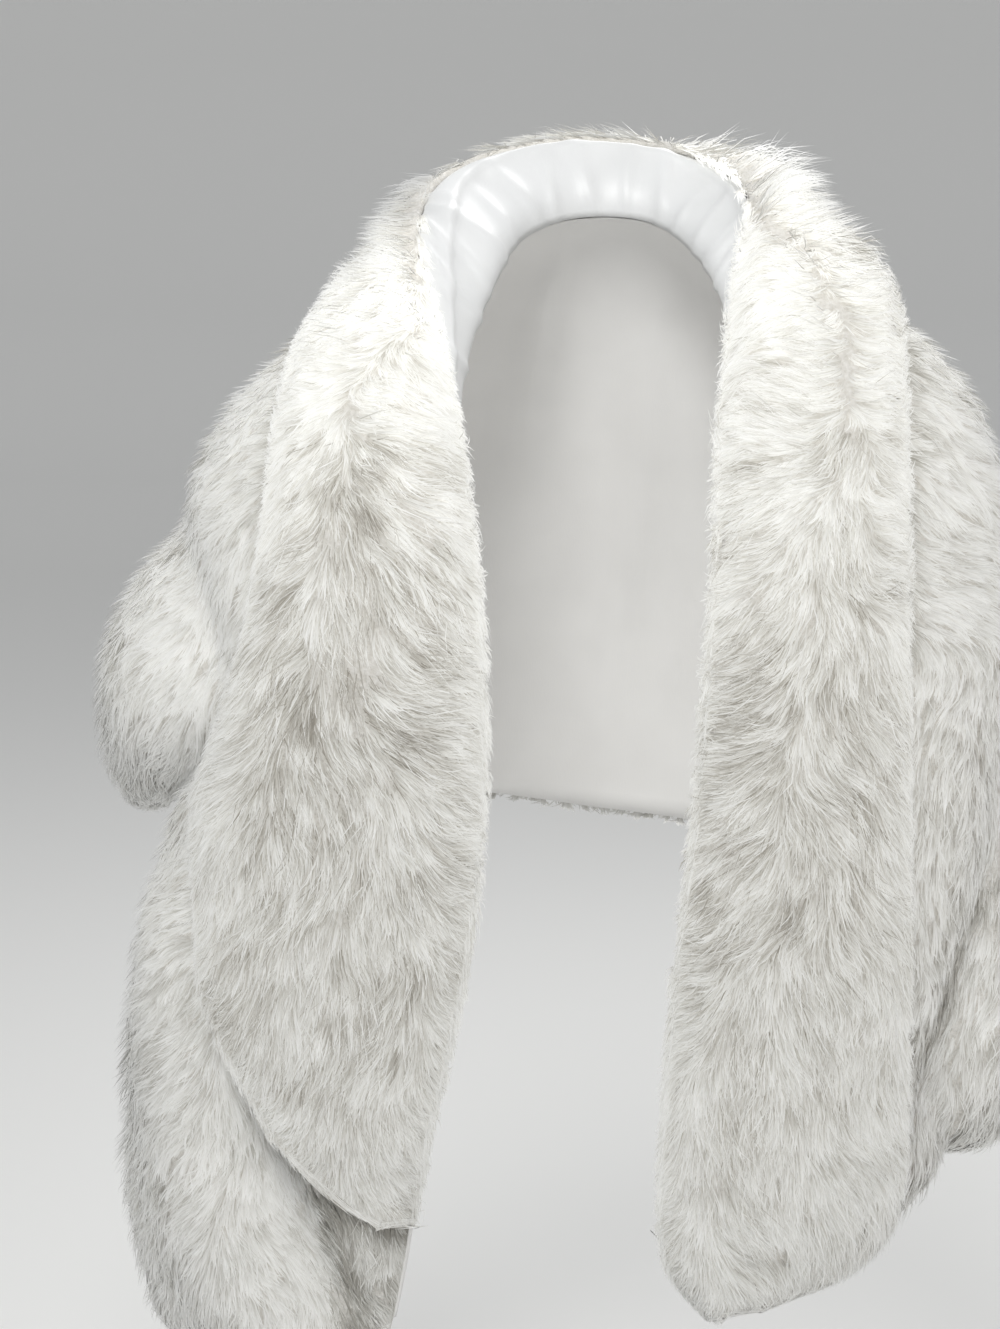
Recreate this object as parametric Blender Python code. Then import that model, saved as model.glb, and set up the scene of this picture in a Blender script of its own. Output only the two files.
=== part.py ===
"""Fur wrap with a long fur collar and a satin lining, worn open over the shoulders.

Lengths in the tables are millimetres and the model is in metres. +Z is up, the wearer faces -Y,
and the wearer's right side is at -X. The origin is the middle of the wearer's neck base, on which
the wrap hangs.

The wrap is one long crescent: a deep back with a tab at each end that hangs down the front. It is
described by sections that cross it from the neck seam to the hem, from the right tab's foot over the
right shoulder, the back and the left shoulder to the left tab's foot. A place on the cloth is given by
`along`, the section's number with a fraction, and `across`, 0 at the neck seam and 1 at the hem.
"""

import math
from collections import namedtuple
from functools import lru_cache

import bmesh
import bpy
from mathutils import Vector

MM = 0.001

# Layers, counted outwards from the inside of the lining.
SEAM_GAP = 0.3
LINING_THICK = 1.2
FUR_BASE = LINING_THICK + SEAM_GAP
BODY_PILE = 17.0
BODY_TOP = FUR_BASE + BODY_PILE
COLLAR_GAP = 1.5
FACING_THICK = 1.2

# The pile falls away to this share of its height at a free edge, over this distance, and at the neck seam
# it is trimmed lower, over a longer way.
EDGE_SHARE = 0.45
EDGE_WIDTH = 24.0
NECK_SHARE = 0.15
NECK_WIDTH = 46.0
NECK_CLEAR = 5.0

# Each panel's net has this many rows to a section, and section numbers of its ends are whole rows.
ROWS = 3
RIGHT_FOOT = 0
RIGHT_SHOULDER = 28
LEFT_SHOULDER = 49
LEFT_FOOT = 75
COLLAR_RIGHT_FOOT = 4
COLLAR_RIGHT_SEAM = 31
COLLAR_LEFT_SEAM = 47
COLLAR_LEFT_FOOT = 76
FACING_RIGHT_FOOT = 5
FACING_LEFT_FOOT = 74

Section = namedtuple("Section", "name seam over side hem")

# Each section is one smooth curve: it leaves the neck seam towards `over` and comes down on the hem from `side`.
SECTIONS = [
    Section("right foot", (-158, -118, -702), (-200, -135, -730), (-306, -120, -762), (-322, -45, -724)),
    Section("right hip", (-147, -122, -640), (-205, -142, -652), (-332, -118, -660), (-343, -38, -652)),
    Section("right tab low", (-137, -125, -555), (-195, -144, -560), (-328, -118, -568), (-338, -34, -563)),
    Section("right tab middle", (-121, -128, -465), (-185, -146, -470), (-316, -120, -476), (-330, -33, -474)),
    Section("right tab high", (-110, -128, -380), (-176, -148, -388), (-302, -118, -400), (-314, -30, -400)),
    Section("right hem corner", (-105, -126, -297), (-174, -150, -300), (-302, -112, -320), (-308, -22, -352)),
    Section("right ribs", (-107, -121, -216), (-177, -148, -208), (-320, -96, -255), (-334, 6, -360)),
    Section("right bust", (-111, -106, -142), (-183, -138, -118), (-340, -66, -195), (-352, 40, -364)),
    Section("right collarbone", (-116, -71, -79), (-196, -104, -36), (-358, -28, -148), (-353, 72, -367)),
    Section("right shoulder front", (-106, -30, -28), (-204, -46, 10), (-362, 25, -127), (-332, 112, -372)),
    Section("right shoulder back", (-88, 8, 13), (-198, 14, 20), (-336, 92, -125), (-280, 148, -379)),
    Section("right blade", (-72, 46, 38), (-158, 74, 48), (-254, 158, -128), (-208, 172, -387)),
    Section("right nape", (-44, 70, 52), (-88, 118, 52), (-130, 186, -142), (-115, 184, -396)),
    Section("centre back", (-8, 78, 56), (-10, 132, 54), (-12, 196, -150), (-12, 188, -408)),
    Section("left nape", (26, 69, 51), (74, 114, 52), (110, 190, -145), (88, 186, -418)),
    Section("left blade", (48, 44, 36), (134, 68, 58), (222, 160, -132), (168, 176, -432)),
    Section("left shoulder back", (64, 10, 14), (172, 14, 42), (312, 104, -130), (232, 150, -448)),
    Section("left shoulder front", (75, -28, -21), (190, -44, 32), (356, 34, -135), (284, 112, -470)),
    Section("left collarbone", (75, -62, -68), (182, -94, -12), (362, -18, -165), (310, 72, -498)),
    Section("left bust", (70, -94, -132), (170, -128, -105), (344, -52, -255), (316, 36, -530)),
    Section("left ribs", (63, -115, -207), (160, -142, -192), (324, -80, -345), (306, 0, -556)),
    Section("left waist", (57, -123, -292), (150, -151, -288), (294, -104, -440), (284, -28, -575)),
    Section("left tab high", (50, -127, -378), (138, -154, -378), (256, -122, -520), (254, -52, -592)),
    Section("left tab middle", (42, -126, -465), (124, -152, -470), (215, -132, -580), (222, -70, -608)),
    Section("left tab low", (36, -122, -555), (105, -150, -572), (180, -134, -622), (190, -84, -622)),
    Section("left foot", (42, -118, -645), (75, -138, -655), (120, -132, -664), (150, -98, -650)),
]

Fold = namedtuple("Fold", "name first last at_first at_last width depth thin")

# Folds that run along the wrap, from section to section. `at` is the place across the cloth, `width` a share
# of the section, `depth` how far the cloth is moved out, or in where it is negative, and `thin` the share by
# which the pile is pressed down in it.
LONG_FOLDS = [
    Fold("right tab valley", -1.0, 4.8, 0.06, 0.80, 0.105, -17, 0.70),
    Fold("right tab roll", -1.0, 4.6, 0.33, 1.05, 0.14, 11, 0.0),
    Fold("right side crease", 5.6, 9.6, 0.60, 0.66, 0.065, -11, 0.40),
    Fold("right side puff", 5.4, 10.5, 0.82, 0.84, 0.10, 16, 0.0),
    Fold("left flap valley", 19.0, 23.6, 0.61, 0.72, 0.09, -12, 0.60),
    Fold("left flap roll", 17.6, 22.8, 0.88, 0.86, 0.12, 13, 0.0),
]

# Folds that run across the wrap, from the neck towards the hem. `at` is the section's number, `width` is
# in sections.
CROSS_FOLDS = [
    Fold("right hem notch", 0.50, 1.30, 5.2, 5.4, 0.50, -11, 0.45),
    Fold("right back fold", 0.40, 1.35, 10.9, 10.6, 0.55, -19, 0.2),
    Fold("middle back roll", 0.35, 1.35, 12.2, 12.3, 0.65, 14, 0.0),
    Fold("left back fold", 0.35, 1.35, 13.9, 14.3, 0.60, -20, 0.2),
    Fold("left side roll", 0.40, 1.35, 15.6, 16.0, 0.65, 13, 0.0),
    Fold("left side fold", 0.40, 1.35, 17.3, 17.9, 0.60, -17, 0.2),
    Fold("left hem notch", 0.60, 1.40, 22.3, 23.3, 0.45, -9, 0.5),
]

CollarRow = namedtuple("CollarRow", "along edge width pile satin")

# The collar's free edge, which is the fold round the neck and the edge of the opening down the front, how
# wide the collar lies from it, its pile there, and how far the satin is rolled over the fold.
COLLAR = [
    CollarRow(1.33, (-147, -141, -618), 30, 14, 3),
    CollarRow(1.67, (-142, -146, -587), 68, 19, 3),
    CollarRow(2.00, (-137, -150, -554), 98, 22, 3),
    CollarRow(3.00, (-117, -153, -462), 152, 25, 3),
    CollarRow(4.00, (-104, -154, -378), 172, 26, 3),
    CollarRow(5.00, (-99, -152, -296), 178, 27, 3),
    CollarRow(6.00, (-102, -146, -214), 172, 27, 3),
    CollarRow(7.00, (-108, -128, -138), 168, 26, 4),
    CollarRow(8.00, (-114, -94, -72), 160, 24, 10),
    CollarRow(9.00, (-118, -46, -12), 152, 20, 26),
    CollarRow(10.00, (-120, 10, 50), 150, 19, 37),
    CollarRow(11.00, (-110, 62, 86), 156, 21, 34),
    CollarRow(12.00, (-68, 94, 106), 162, 23, 18),
    CollarRow(13.00, (-14, 103, 111), 164, 24, 9),
    CollarRow(14.00, (40, 92, 102), 162, 25, 8),
    CollarRow(15.00, (76, 58, 82), 158, 28, 8),
    CollarRow(16.00, (86, 16, 56), 158, 31, 8),
    CollarRow(17.00, (78, -30, 10), 160, 31, 6),
    CollarRow(18.00, (69, -78, -56), 162, 28, 3),
    CollarRow(19.00, (62, -118, -128), 165, 27, 3),
    CollarRow(20.00, (57, -142, -206), 163, 27, 3),
    CollarRow(21.00, (51, -152, -292), 160, 27, 3),
    CollarRow(22.00, (42, -154, -378), 158, 26, 3),
    CollarRow(23.00, (33, -153, -465), 156, 25, 3),
    CollarRow(24.00, (27, -150, -556), 141, 25, 3),
    CollarRow(24.33, (26, -149, -590), 131, 24, 3),
    CollarRow(24.67, (27, -148, -622), 113, 22, 3),
    CollarRow(25.00, (34, -146, -655), 92, 19, 3),
    CollarRow(25.34, (58, -143, -687), 58, 14, 3),
]

IVORY_FUR = ((0.86, 0.83, 0.76, 1.0), 0.75)
IVORY_COLLAR_FUR = ((0.89, 0.87, 0.81, 1.0), 0.70)
WHITE_SATIN = ((0.90, 0.90, 0.88, 1.0), 0.28)

INNER, OUTER = 0, 1
STEP = 0.01


def smooth(share):
    """0 to 1 with level ends."""
    share = min(1.0, max(0.0, share))
    return share * share * (3.0 - 2.0 * share)


def mix(first, last, share):
    return first * (1.0 - share) + last * share


def through(values, place):
    """The value at a place on the smooth curve through evenly spaced values, carried on straight past its ends."""
    last = len(values) - 1
    if place <= 0:
        return values[0] + (values[1] - values[0]) * place
    if place >= last:
        return values[last] + (values[last] - values[last - 1]) * (place - last)
    low = min(int(place), last - 1)
    t = place - low
    before = values[low - 1] if low else values[0] * 2 - values[1]
    after = values[low + 2] if low + 2 <= last else values[last] * 2 - values[last - 1]
    a, b = values[low], values[low + 1]
    out = (b - before) * 0.5
    into = (after - a) * 0.5
    return a * (2 * t**3 - 3 * t**2 + 1) + out * (t**3 - 2 * t**2 + t) + b * (3 * t**2 - 2 * t**3) + into * (t**3 - t**2)


CAGE = [[Vector(getattr(row, point)) for row in SECTIONS] for point in ("seam", "over", "side", "hem")]


@lru_cache(None)
def flat_point(along, across):
    """A point of the cloth before its folds."""
    seam, over, side, hem = (through(column, along) for column in CAGE)
    left = 1.0 - across
    return seam * left**3 + over * (3 * left**2 * across) + side * (3 * left * across**2) + hem * across**3


def normal_of(surface, along, across):
    """The outward normal of a surface of (along, across)."""
    along_way = surface(along + STEP, across) - surface(along - STEP, across)
    across_way = surface(along, across + STEP) - surface(along, across - STEP)
    return along_way.cross(across_way).normalized()


def fold_parts(folds, run, place):
    """Each fold of these with its share, 0 to 1, at a place measured along them and across them."""
    for fold in folds:
        share = (run - fold.first) / (fold.last - fold.first)
        if 0.0 < share < 1.0:
            centre = mix(fold.at_first, fold.at_last, share)
            fade = smooth(share * 4) * smooth((1 - share) * 4)
            yield fold, fade * math.exp(-(((place - centre) / fold.width) ** 2))


def folds_at(along, across):
    yield from fold_parts(LONG_FOLDS, along, across)
    yield from fold_parts(CROSS_FOLDS, across, along)


@lru_cache(None)
def cloth_point(along, across):
    """A point of the inside of the lining, folds included."""
    height = sum(fold.depth * share for fold, share in folds_at(along, across))
    return flat_point(along, across) + normal_of(flat_point, along, across) * height


@lru_cache(None)
def resting_point(along, across):
    """The cloth as what lies on it sees it: its rolls are followed and its valleys are bridged."""
    height = sum(fold.depth * share for fold, share in folds_at(along, across))
    height = (height + math.sqrt(height * height + 4.0)) / 2
    return flat_point(along, across) + normal_of(flat_point, along, across) * height


def above(surface, along, across, height):
    """A point this far outside a surface of (along, across)."""
    return surface(along, across) + normal_of(surface, along, across) * height


@lru_cache(None)
def section_length(along):
    steps = 12
    points = [flat_point(along, step / steps) for step in range(steps + 1)]
    return sum((b - a).length for a, b in zip(points, points[1:]))


@lru_cache(None)
def collar_value(column, along):
    """A column of the collar's table at any place along it."""
    places = [row.along for row in COLLAR]
    values = [getattr(row, column) for row in COLLAR]
    if isinstance(values[0], tuple):
        values = [Vector(value) for value in values]
    low = 0
    while low < len(places) - 2 and along > places[low + 1]:
        low += 1
    return through(values, low + (along - places[low]) / (places[low + 1] - places[low]))


@lru_cache(None)
def collar_base(along, reach):
    """A point of the collar's underside: reach is 0 at its fold or free edge and 1 at its outer edge."""
    across = reach * collar_value("width", along) / section_length(along)
    lying = above(resting_point, along, across, BODY_TOP + COLLAR_GAP)
    fold = collar_value("edge", along) - above(resting_point, along, 0.0, BODY_TOP + COLLAR_GAP)
    return lying + fold * (1.0 - smooth(reach / 0.85))


def pile_share(distance):
    """The share of its height that the pile has this far from a free edge."""
    return mix(EDGE_SHARE, 1.0, smooth(distance / EDGE_WIDTH))


def closed_wall(name, columns, rows, place, look):
    """A wall from two nets of points, place(u, row, side), joined round their rims. u runs from 0 to 1."""
    made = bmesh.new()
    nets = []
    for side in (INNER, OUTER):
        net = bmesh.ops.create_grid(made, x_segments=columns, y_segments=rows, size=0.5)["verts"]
        nets.append(net)
        for vert in net:
            u = round((vert.co.x + 0.5) * columns) / columns
            row = round((vert.co.y + 0.5) * rows)
            vert.co = place(u, row, side) * MM
    bmesh.ops.triangulate(made, faces=made.faces, quad_method="FIXED")
    made.verts.index_update()
    inner, outer = nets
    twin = dict(zip(inner, outer))
    rim = [edge.link_loops[0] for edge in made.edges if edge.is_boundary and edge.verts[0] in twin]
    ends = [(loop.vert, loop.link_loop_next.vert) for loop in rim]
    outward = {face for vert in outer for face in vert.link_faces}
    bmesh.ops.reverse_faces(made, faces=list(outward))
    for first, last in ends:
        near, far = (first, twin[last]) if first.index < last.index else (last, twin[first])
        made.faces.new((last, first, far))
        made.faces.new((near, twin[first], twin[last]))
    mesh = bpy.data.meshes.new(name)
    made.to_mesh(mesh)
    made.free()
    mesh.shade_smooth()
    wall = bpy.data.objects.new(name, mesh)
    wall.data.materials.append(look)
    return wall


def beside_seams(surface, sewn):
    """Points outside a surface, moved half a seam gap back from the rows in `sewn`, a dictionary of row to side."""

    def point(row, across, height):
        along = row / ROWS
        back = Vector((0.0, 0.0, 0.0))
        if row in sewn:
            way = surface(along + STEP, across) - surface(along - STEP, across)
            back = way.normalized() * sewn[row] * SEAM_GAP / 2
        return above(surface, along, across, height) + back

    return point


def material(name, colour, roughness):
    look = bpy.data.materials.new(name)
    look.use_nodes = True
    shader = look.node_tree.nodes["Principled BSDF"]
    shader.inputs["Base Color"].default_value = colour
    shader.inputs["Roughness"].default_value = roughness
    shader.inputs["Metallic"].default_value = 0.0
    return look


def body_panel(name, first, last, sewn, columns, start, low, high, look):
    """A panel of the body between two rows, from `start` past the neck seam to the hem and between two heights."""
    point = beside_seams(cloth_point, sewn)

    def place(u, row, side):
        along = (first + row) / ROWS
        across = max(u, start / section_length(along))
        return point(first + row, across, high(along, across) if side == OUTER else low)

    return closed_wall(name, columns, last - first, place, look)


def fur_height(along, across):
    """The outside of the body's fur, which thins towards its edges and is pressed down in the valleys."""
    length = section_length(along)
    run = (flat_point(RIGHT_FOOT / ROWS, across) - flat_point(along, across)).length
    run = min(run, (flat_point(LEFT_FOOT / ROWS, across) - flat_point(along, across)).length)
    share = pile_share(min((1.0 - across) * length, run))
    share = min(share, mix(NECK_SHARE, 1.0, smooth(across * length / NECK_WIDTH)))
    pressed = sum(fold.thin * part for fold, part in folds_at(along, across))
    return FUR_BASE + BODY_PILE * share * (1.0 - min(pressed, 0.75))


def lining_height(_along, _across):
    return LINING_THICK


def collar_panel(name, first, last, sewn, columns, look):
    """A length of the collar's fur, from the satin's edge to the collar's outer edge."""
    point = beside_seams(collar_base, sewn)

    def place(u, row, side):
        along = (first + row) / ROWS
        width = collar_value("width", along)
        start = collar_value("satin", along) / width
        reach = mix(start, 1.0, u)
        if side == INNER:
            return point(first + row, reach, 0.0)
        ends = [collar_base(end / ROWS, reach) for end in (COLLAR_RIGHT_FOOT, COLLAR_LEFT_FOOT)]
        base = collar_base(along, reach)
        edge = min([(reach - start) * width, (1.0 - reach) * width] + [(end - base).length for end in ends])
        return point(first + row, reach, collar_value("pile", along) * pile_share(edge))

    return closed_wall(name, columns, last - first, place, look)


@lru_cache(None)
def facing_point(along, run):
    """The satin round the neck: run is 0 at the neck seam, 1 at the collar's fold and 2 where the fur starts."""
    if run > 1.0:
        shown = collar_value("satin", along) - SEAM_GAP * 3
        return collar_base(along, (run - 1.0) * shown / collar_value("width", along))
    rise = normal_of(cloth_point, along, 0.0)
    inward = (cloth_point(along, 0.0) - cloth_point(along, STEP)).normalized()
    foot = cloth_point(along, 0.0) + rise * (LINING_THICK + SEAM_GAP) + inward * SEAM_GAP
    fold = collar_value("edge", along)
    height = (fold - foot).length
    left = 1.0 - run
    low = foot + rise * height * 0.4
    high = fold + (fold - collar_base(along, STEP)).normalized() * height * 0.12 - rise * height * 0.25
    return foot * left**3 + low * (3 * left**2 * run) + high * (3 * left * run**2) + fold * run**3


def collar_facing(columns, look):
    def place(u, row, side):
        along = (FACING_RIGHT_FOOT + row) / ROWS
        run = 2.0 * u
        ahead = facing_point(along, min(2.0, run + STEP)) - facing_point(along, max(0.0, run - STEP))
        sideways = facing_point(along + STEP, run) - facing_point(along - STEP, run)
        return facing_point(along, run) + sideways.cross(ahead).normalized() * (FACING_THICK if side == OUTER else 0.0)

    return closed_wall("collar_facing", columns, FACING_LEFT_FOOT - FACING_RIGHT_FOOT, place, look)


def main():
    for old in list(bpy.data.objects):
        bpy.data.objects.remove(old)
    collection = bpy.data.collections.new("fur_wrap")
    bpy.context.scene.collection.children.link(collection)

    fur = material("ivory_fur", *IVORY_FUR)
    collar_fur = material("ivory_collar_fur", *IVORY_COLLAR_FUR)
    satin = material("white_satin", *WHITE_SATIN)

    right, left = RIGHT_SHOULDER, LEFT_SHOULDER
    panels = {
        "front_right": (RIGHT_FOOT, right, {right: -1}, 18),
        "back": (right, left, {right: 1, left: -1}, 18),
        "front_left": (left, LEFT_FOOT, {left: 1}, 18),
    }
    for name, panel in panels.items():
        collection.objects.link(body_panel("fur_" + name, *panel, NECK_CLEAR, FUR_BASE, fur_height, fur))
        collection.objects.link(body_panel("lining_" + name, *panel, 0.0, 0.0, lining_height, satin))

    right, left = COLLAR_RIGHT_SEAM, COLLAR_LEFT_SEAM
    collars = {
        "collar_right": (COLLAR_RIGHT_FOOT, right, {right: -1}, 10),
        "collar_back": (right, left, {right: 1, left: -1}, 10),
        "collar_left": (left, COLLAR_LEFT_FOOT, {left: 1}, 10),
    }
    for name, panel in collars.items():
        collection.objects.link(collar_panel(name, *panel, collar_fur))
    collection.objects.link(collar_facing(8, satin))


main()
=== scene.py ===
"""The looks of the fur wrap: its pelts with their pile in locks, the satin facing and the lining.

Lengths in the tables are millimetres and the scene is in metres. +Z is up, the wearer faces -Y, and the
wearer's right side is at -X. A place on the cloth is given by `along`, the number of a section of the
wrap with a fraction, and `across`, 0 at the neck seam and 1 at the hem. On the collar it is `along` and
`reach`, 0 at the collar's fold or free edge and 1 at its outer edge.
"""

import math
from collections import namedtuple

import bmesh
import bpy
import numpy as np
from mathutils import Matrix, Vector
from mathutils.kdtree import KDTree


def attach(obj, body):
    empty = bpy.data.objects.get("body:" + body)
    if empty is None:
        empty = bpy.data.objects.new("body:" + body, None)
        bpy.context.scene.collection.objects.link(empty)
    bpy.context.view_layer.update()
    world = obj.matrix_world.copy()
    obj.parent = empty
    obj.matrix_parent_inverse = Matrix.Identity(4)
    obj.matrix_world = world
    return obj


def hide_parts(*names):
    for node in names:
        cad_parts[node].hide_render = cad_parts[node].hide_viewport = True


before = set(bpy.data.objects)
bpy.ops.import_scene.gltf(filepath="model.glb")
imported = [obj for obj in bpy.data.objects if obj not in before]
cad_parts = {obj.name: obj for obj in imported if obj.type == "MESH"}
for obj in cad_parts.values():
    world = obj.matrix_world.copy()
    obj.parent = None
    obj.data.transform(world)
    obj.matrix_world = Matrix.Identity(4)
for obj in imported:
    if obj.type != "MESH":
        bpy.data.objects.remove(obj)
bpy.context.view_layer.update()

MM = 0.001

# Layers, counted outwards from the inside of the lining.
SEAM_GAP = 0.3
LINING_THICK = 1.2
FUR_BASE = LINING_THICK + SEAM_GAP
BODY_PILE = 17.0
BODY_TOP = FUR_BASE + BODY_PILE
COLLAR_GAP = 1.5
FACING_THICK = 1.2

# How the pile falls away at a free edge and at the neck seam: the share of its height, and over what
# distance.
EDGE_SHARE = 0.45
EDGE_WIDTH = 24.0
NECK_SHARE = 0.15
NECK_WIDTH = 46.0
NECK_CLEAR = 5.0

# The ends of the panels, as section numbers.
ROWS = 3
RIGHT_FOOT = 0 / ROWS
RIGHT_SHOULDER = 28 / ROWS
LEFT_SHOULDER = 49 / ROWS
LEFT_FOOT = 75 / ROWS
COLLAR_RIGHT_FOOT = 4 / ROWS
COLLAR_RIGHT_SEAM = 31 / ROWS
COLLAR_LEFT_SEAM = 47 / ROWS
COLLAR_LEFT_FOOT = 76 / ROWS
FACING_RIGHT_FOOT = 5 / ROWS
FACING_LEFT_FOOT = 74 / ROWS
STEP = 0.01

FLOOR = -1.1

Section = namedtuple("Section", "name seam over side hem")

# Each section is one smooth curve: it leaves the neck seam towards `over` and comes down on the hem from
# `side`.
SECTIONS = [
    Section("right foot", (-158, -118, -702), (-200, -135, -730), (-306, -120, -762), (-322, -45, -724)),
    Section("right hip", (-147, -122, -640), (-205, -142, -652), (-332, -118, -660), (-343, -38, -652)),
    Section("right tab low", (-137, -125, -555), (-195, -144, -560), (-328, -118, -568), (-338, -34, -563)),
    Section("right tab middle", (-121, -128, -465), (-185, -146, -470), (-316, -120, -476), (-330, -33, -474)),
    Section("right tab high", (-110, -128, -380), (-176, -148, -388), (-302, -118, -400), (-314, -30, -400)),
    Section("right hem corner", (-105, -126, -297), (-174, -150, -300), (-302, -112, -320), (-308, -22, -352)),
    Section("right ribs", (-107, -121, -216), (-177, -148, -208), (-320, -96, -255), (-334, 6, -360)),
    Section("right bust", (-111, -106, -142), (-183, -138, -118), (-340, -66, -195), (-352, 40, -364)),
    Section("right collarbone", (-116, -71, -79), (-196, -104, -36), (-358, -28, -148), (-353, 72, -367)),
    Section("right shoulder front", (-106, -30, -28), (-204, -46, 10), (-362, 25, -127), (-332, 112, -372)),
    Section("right shoulder back", (-88, 8, 13), (-198, 14, 20), (-336, 92, -125), (-280, 148, -379)),
    Section("right blade", (-72, 46, 38), (-158, 74, 48), (-254, 158, -128), (-208, 172, -387)),
    Section("right nape", (-44, 70, 52), (-88, 118, 52), (-130, 186, -142), (-115, 184, -396)),
    Section("centre back", (-8, 78, 56), (-10, 132, 54), (-12, 196, -150), (-12, 188, -408)),
    Section("left nape", (26, 69, 51), (74, 114, 52), (110, 190, -145), (88, 186, -418)),
    Section("left blade", (48, 44, 36), (134, 68, 58), (222, 160, -132), (168, 176, -432)),
    Section("left shoulder back", (64, 10, 14), (172, 14, 42), (312, 104, -130), (232, 150, -448)),
    Section("left shoulder front", (75, -28, -21), (190, -44, 32), (356, 34, -135), (284, 112, -470)),
    Section("left collarbone", (75, -62, -68), (182, -94, -12), (362, -18, -165), (310, 72, -498)),
    Section("left bust", (70, -94, -132), (170, -128, -105), (344, -52, -255), (316, 36, -530)),
    Section("left ribs", (63, -115, -207), (160, -142, -192), (324, -80, -345), (306, 0, -556)),
    Section("left waist", (57, -123, -292), (150, -151, -288), (294, -104, -440), (284, -28, -575)),
    Section("left tab high", (50, -127, -378), (138, -154, -378), (256, -122, -520), (254, -52, -592)),
    Section("left tab middle", (42, -126, -465), (124, -152, -470), (215, -132, -580), (222, -70, -608)),
    Section("left tab low", (36, -122, -555), (105, -150, -572), (180, -134, -622), (190, -84, -622)),
    Section("left foot", (42, -118, -645), (75, -138, -655), (120, -132, -664), (150, -98, -650)),
]

Fold = namedtuple("Fold", "name first last at_first at_last width depth thin")

# Folds that run along the wrap, from section to section. `at` is the place across the cloth, `width` a share
# of the section, `depth` how far the cloth is moved out, or in where it is negative, and `thin` the share by
# which the pile is pressed down in it.
LONG_FOLDS = [
    Fold("right tab valley", -1.0, 4.8, 0.06, 0.80, 0.105, -17, 0.70),
    Fold("right tab roll", -1.0, 4.6, 0.33, 1.05, 0.14, 11, 0.0),
    Fold("right side crease", 5.6, 9.6, 0.60, 0.66, 0.065, -11, 0.40),
    Fold("right side puff", 5.4, 10.5, 0.82, 0.84, 0.10, 16, 0.0),
    Fold("left flap valley", 19.0, 23.6, 0.61, 0.72, 0.09, -12, 0.60),
    Fold("left flap roll", 17.6, 22.8, 0.88, 0.86, 0.12, 13, 0.0),
]

# Folds that run across the wrap, from the neck towards the hem. `at` is the section's number, `width` is
# in sections.
CROSS_FOLDS = [
    Fold("right hem notch", 0.50, 1.30, 5.2, 5.4, 0.50, -11, 0.45),
    Fold("right back fold", 0.40, 1.35, 10.9, 10.6, 0.55, -19, 0.2),
    Fold("middle back roll", 0.35, 1.35, 12.2, 12.3, 0.65, 14, 0.0),
    Fold("left back fold", 0.35, 1.35, 13.9, 14.3, 0.60, -20, 0.2),
    Fold("left side roll", 0.40, 1.35, 15.6, 16.0, 0.65, 13, 0.0),
    Fold("left side fold", 0.40, 1.35, 17.3, 17.9, 0.60, -17, 0.2),
    Fold("left hem notch", 0.60, 1.40, 22.3, 23.3, 0.45, -9, 0.5),
]

CollarRow = namedtuple("CollarRow", "along edge width pile satin")

# The collar's free edge, which is the fold round the neck and the edge of the opening down the front, how
# wide the collar lies from it, its pile there, and how far the satin is rolled over the fold.
COLLAR = [
    CollarRow(1.33, (-147, -141, -618), 30, 14, 3),
    CollarRow(1.67, (-142, -146, -587), 68, 19, 3),
    CollarRow(2.00, (-137, -150, -554), 98, 22, 3),
    CollarRow(3.00, (-117, -153, -462), 152, 25, 3),
    CollarRow(4.00, (-104, -154, -378), 172, 26, 3),
    CollarRow(5.00, (-99, -152, -296), 178, 27, 3),
    CollarRow(6.00, (-102, -146, -214), 172, 27, 3),
    CollarRow(7.00, (-108, -128, -138), 168, 26, 4),
    CollarRow(8.00, (-114, -94, -72), 160, 24, 10),
    CollarRow(9.00, (-118, -46, -12), 152, 20, 26),
    CollarRow(10.00, (-120, 10, 50), 150, 19, 37),
    CollarRow(11.00, (-110, 62, 86), 156, 21, 34),
    CollarRow(12.00, (-68, 94, 106), 162, 23, 18),
    CollarRow(13.00, (-14, 103, 111), 164, 24, 9),
    CollarRow(14.00, (40, 92, 102), 162, 25, 8),
    CollarRow(15.00, (76, 58, 82), 158, 28, 8),
    CollarRow(16.00, (86, 16, 56), 158, 31, 8),
    CollarRow(17.00, (78, -30, 10), 160, 31, 6),
    CollarRow(18.00, (69, -78, -56), 162, 28, 3),
    CollarRow(19.00, (62, -118, -128), 165, 27, 3),
    CollarRow(20.00, (57, -142, -206), 163, 27, 3),
    CollarRow(21.00, (51, -152, -292), 160, 27, 3),
    CollarRow(22.00, (42, -154, -378), 158, 26, 3),
    CollarRow(23.00, (33, -153, -465), 156, 25, 3),
    CollarRow(24.00, (27, -150, -556), 141, 25, 3),
    CollarRow(24.33, (26, -149, -590), 131, 24, 3),
    CollarRow(24.67, (27, -148, -622), 113, 22, 3),
    CollarRow(25.00, (34, -146, -655), 92, 19, 3),
    CollarRow(25.34, (58, -143, -687), 58, 14, 3),
]

# Which way the pile is combed, as seen from the front: `swing` is degrees from straight down towards +X, and
# `loose` is 0 where the pile lies short and smooth and 1 where it stands in long tousled locks.
Comb = namedtuple("Comb", "x z swing loose")

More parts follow.
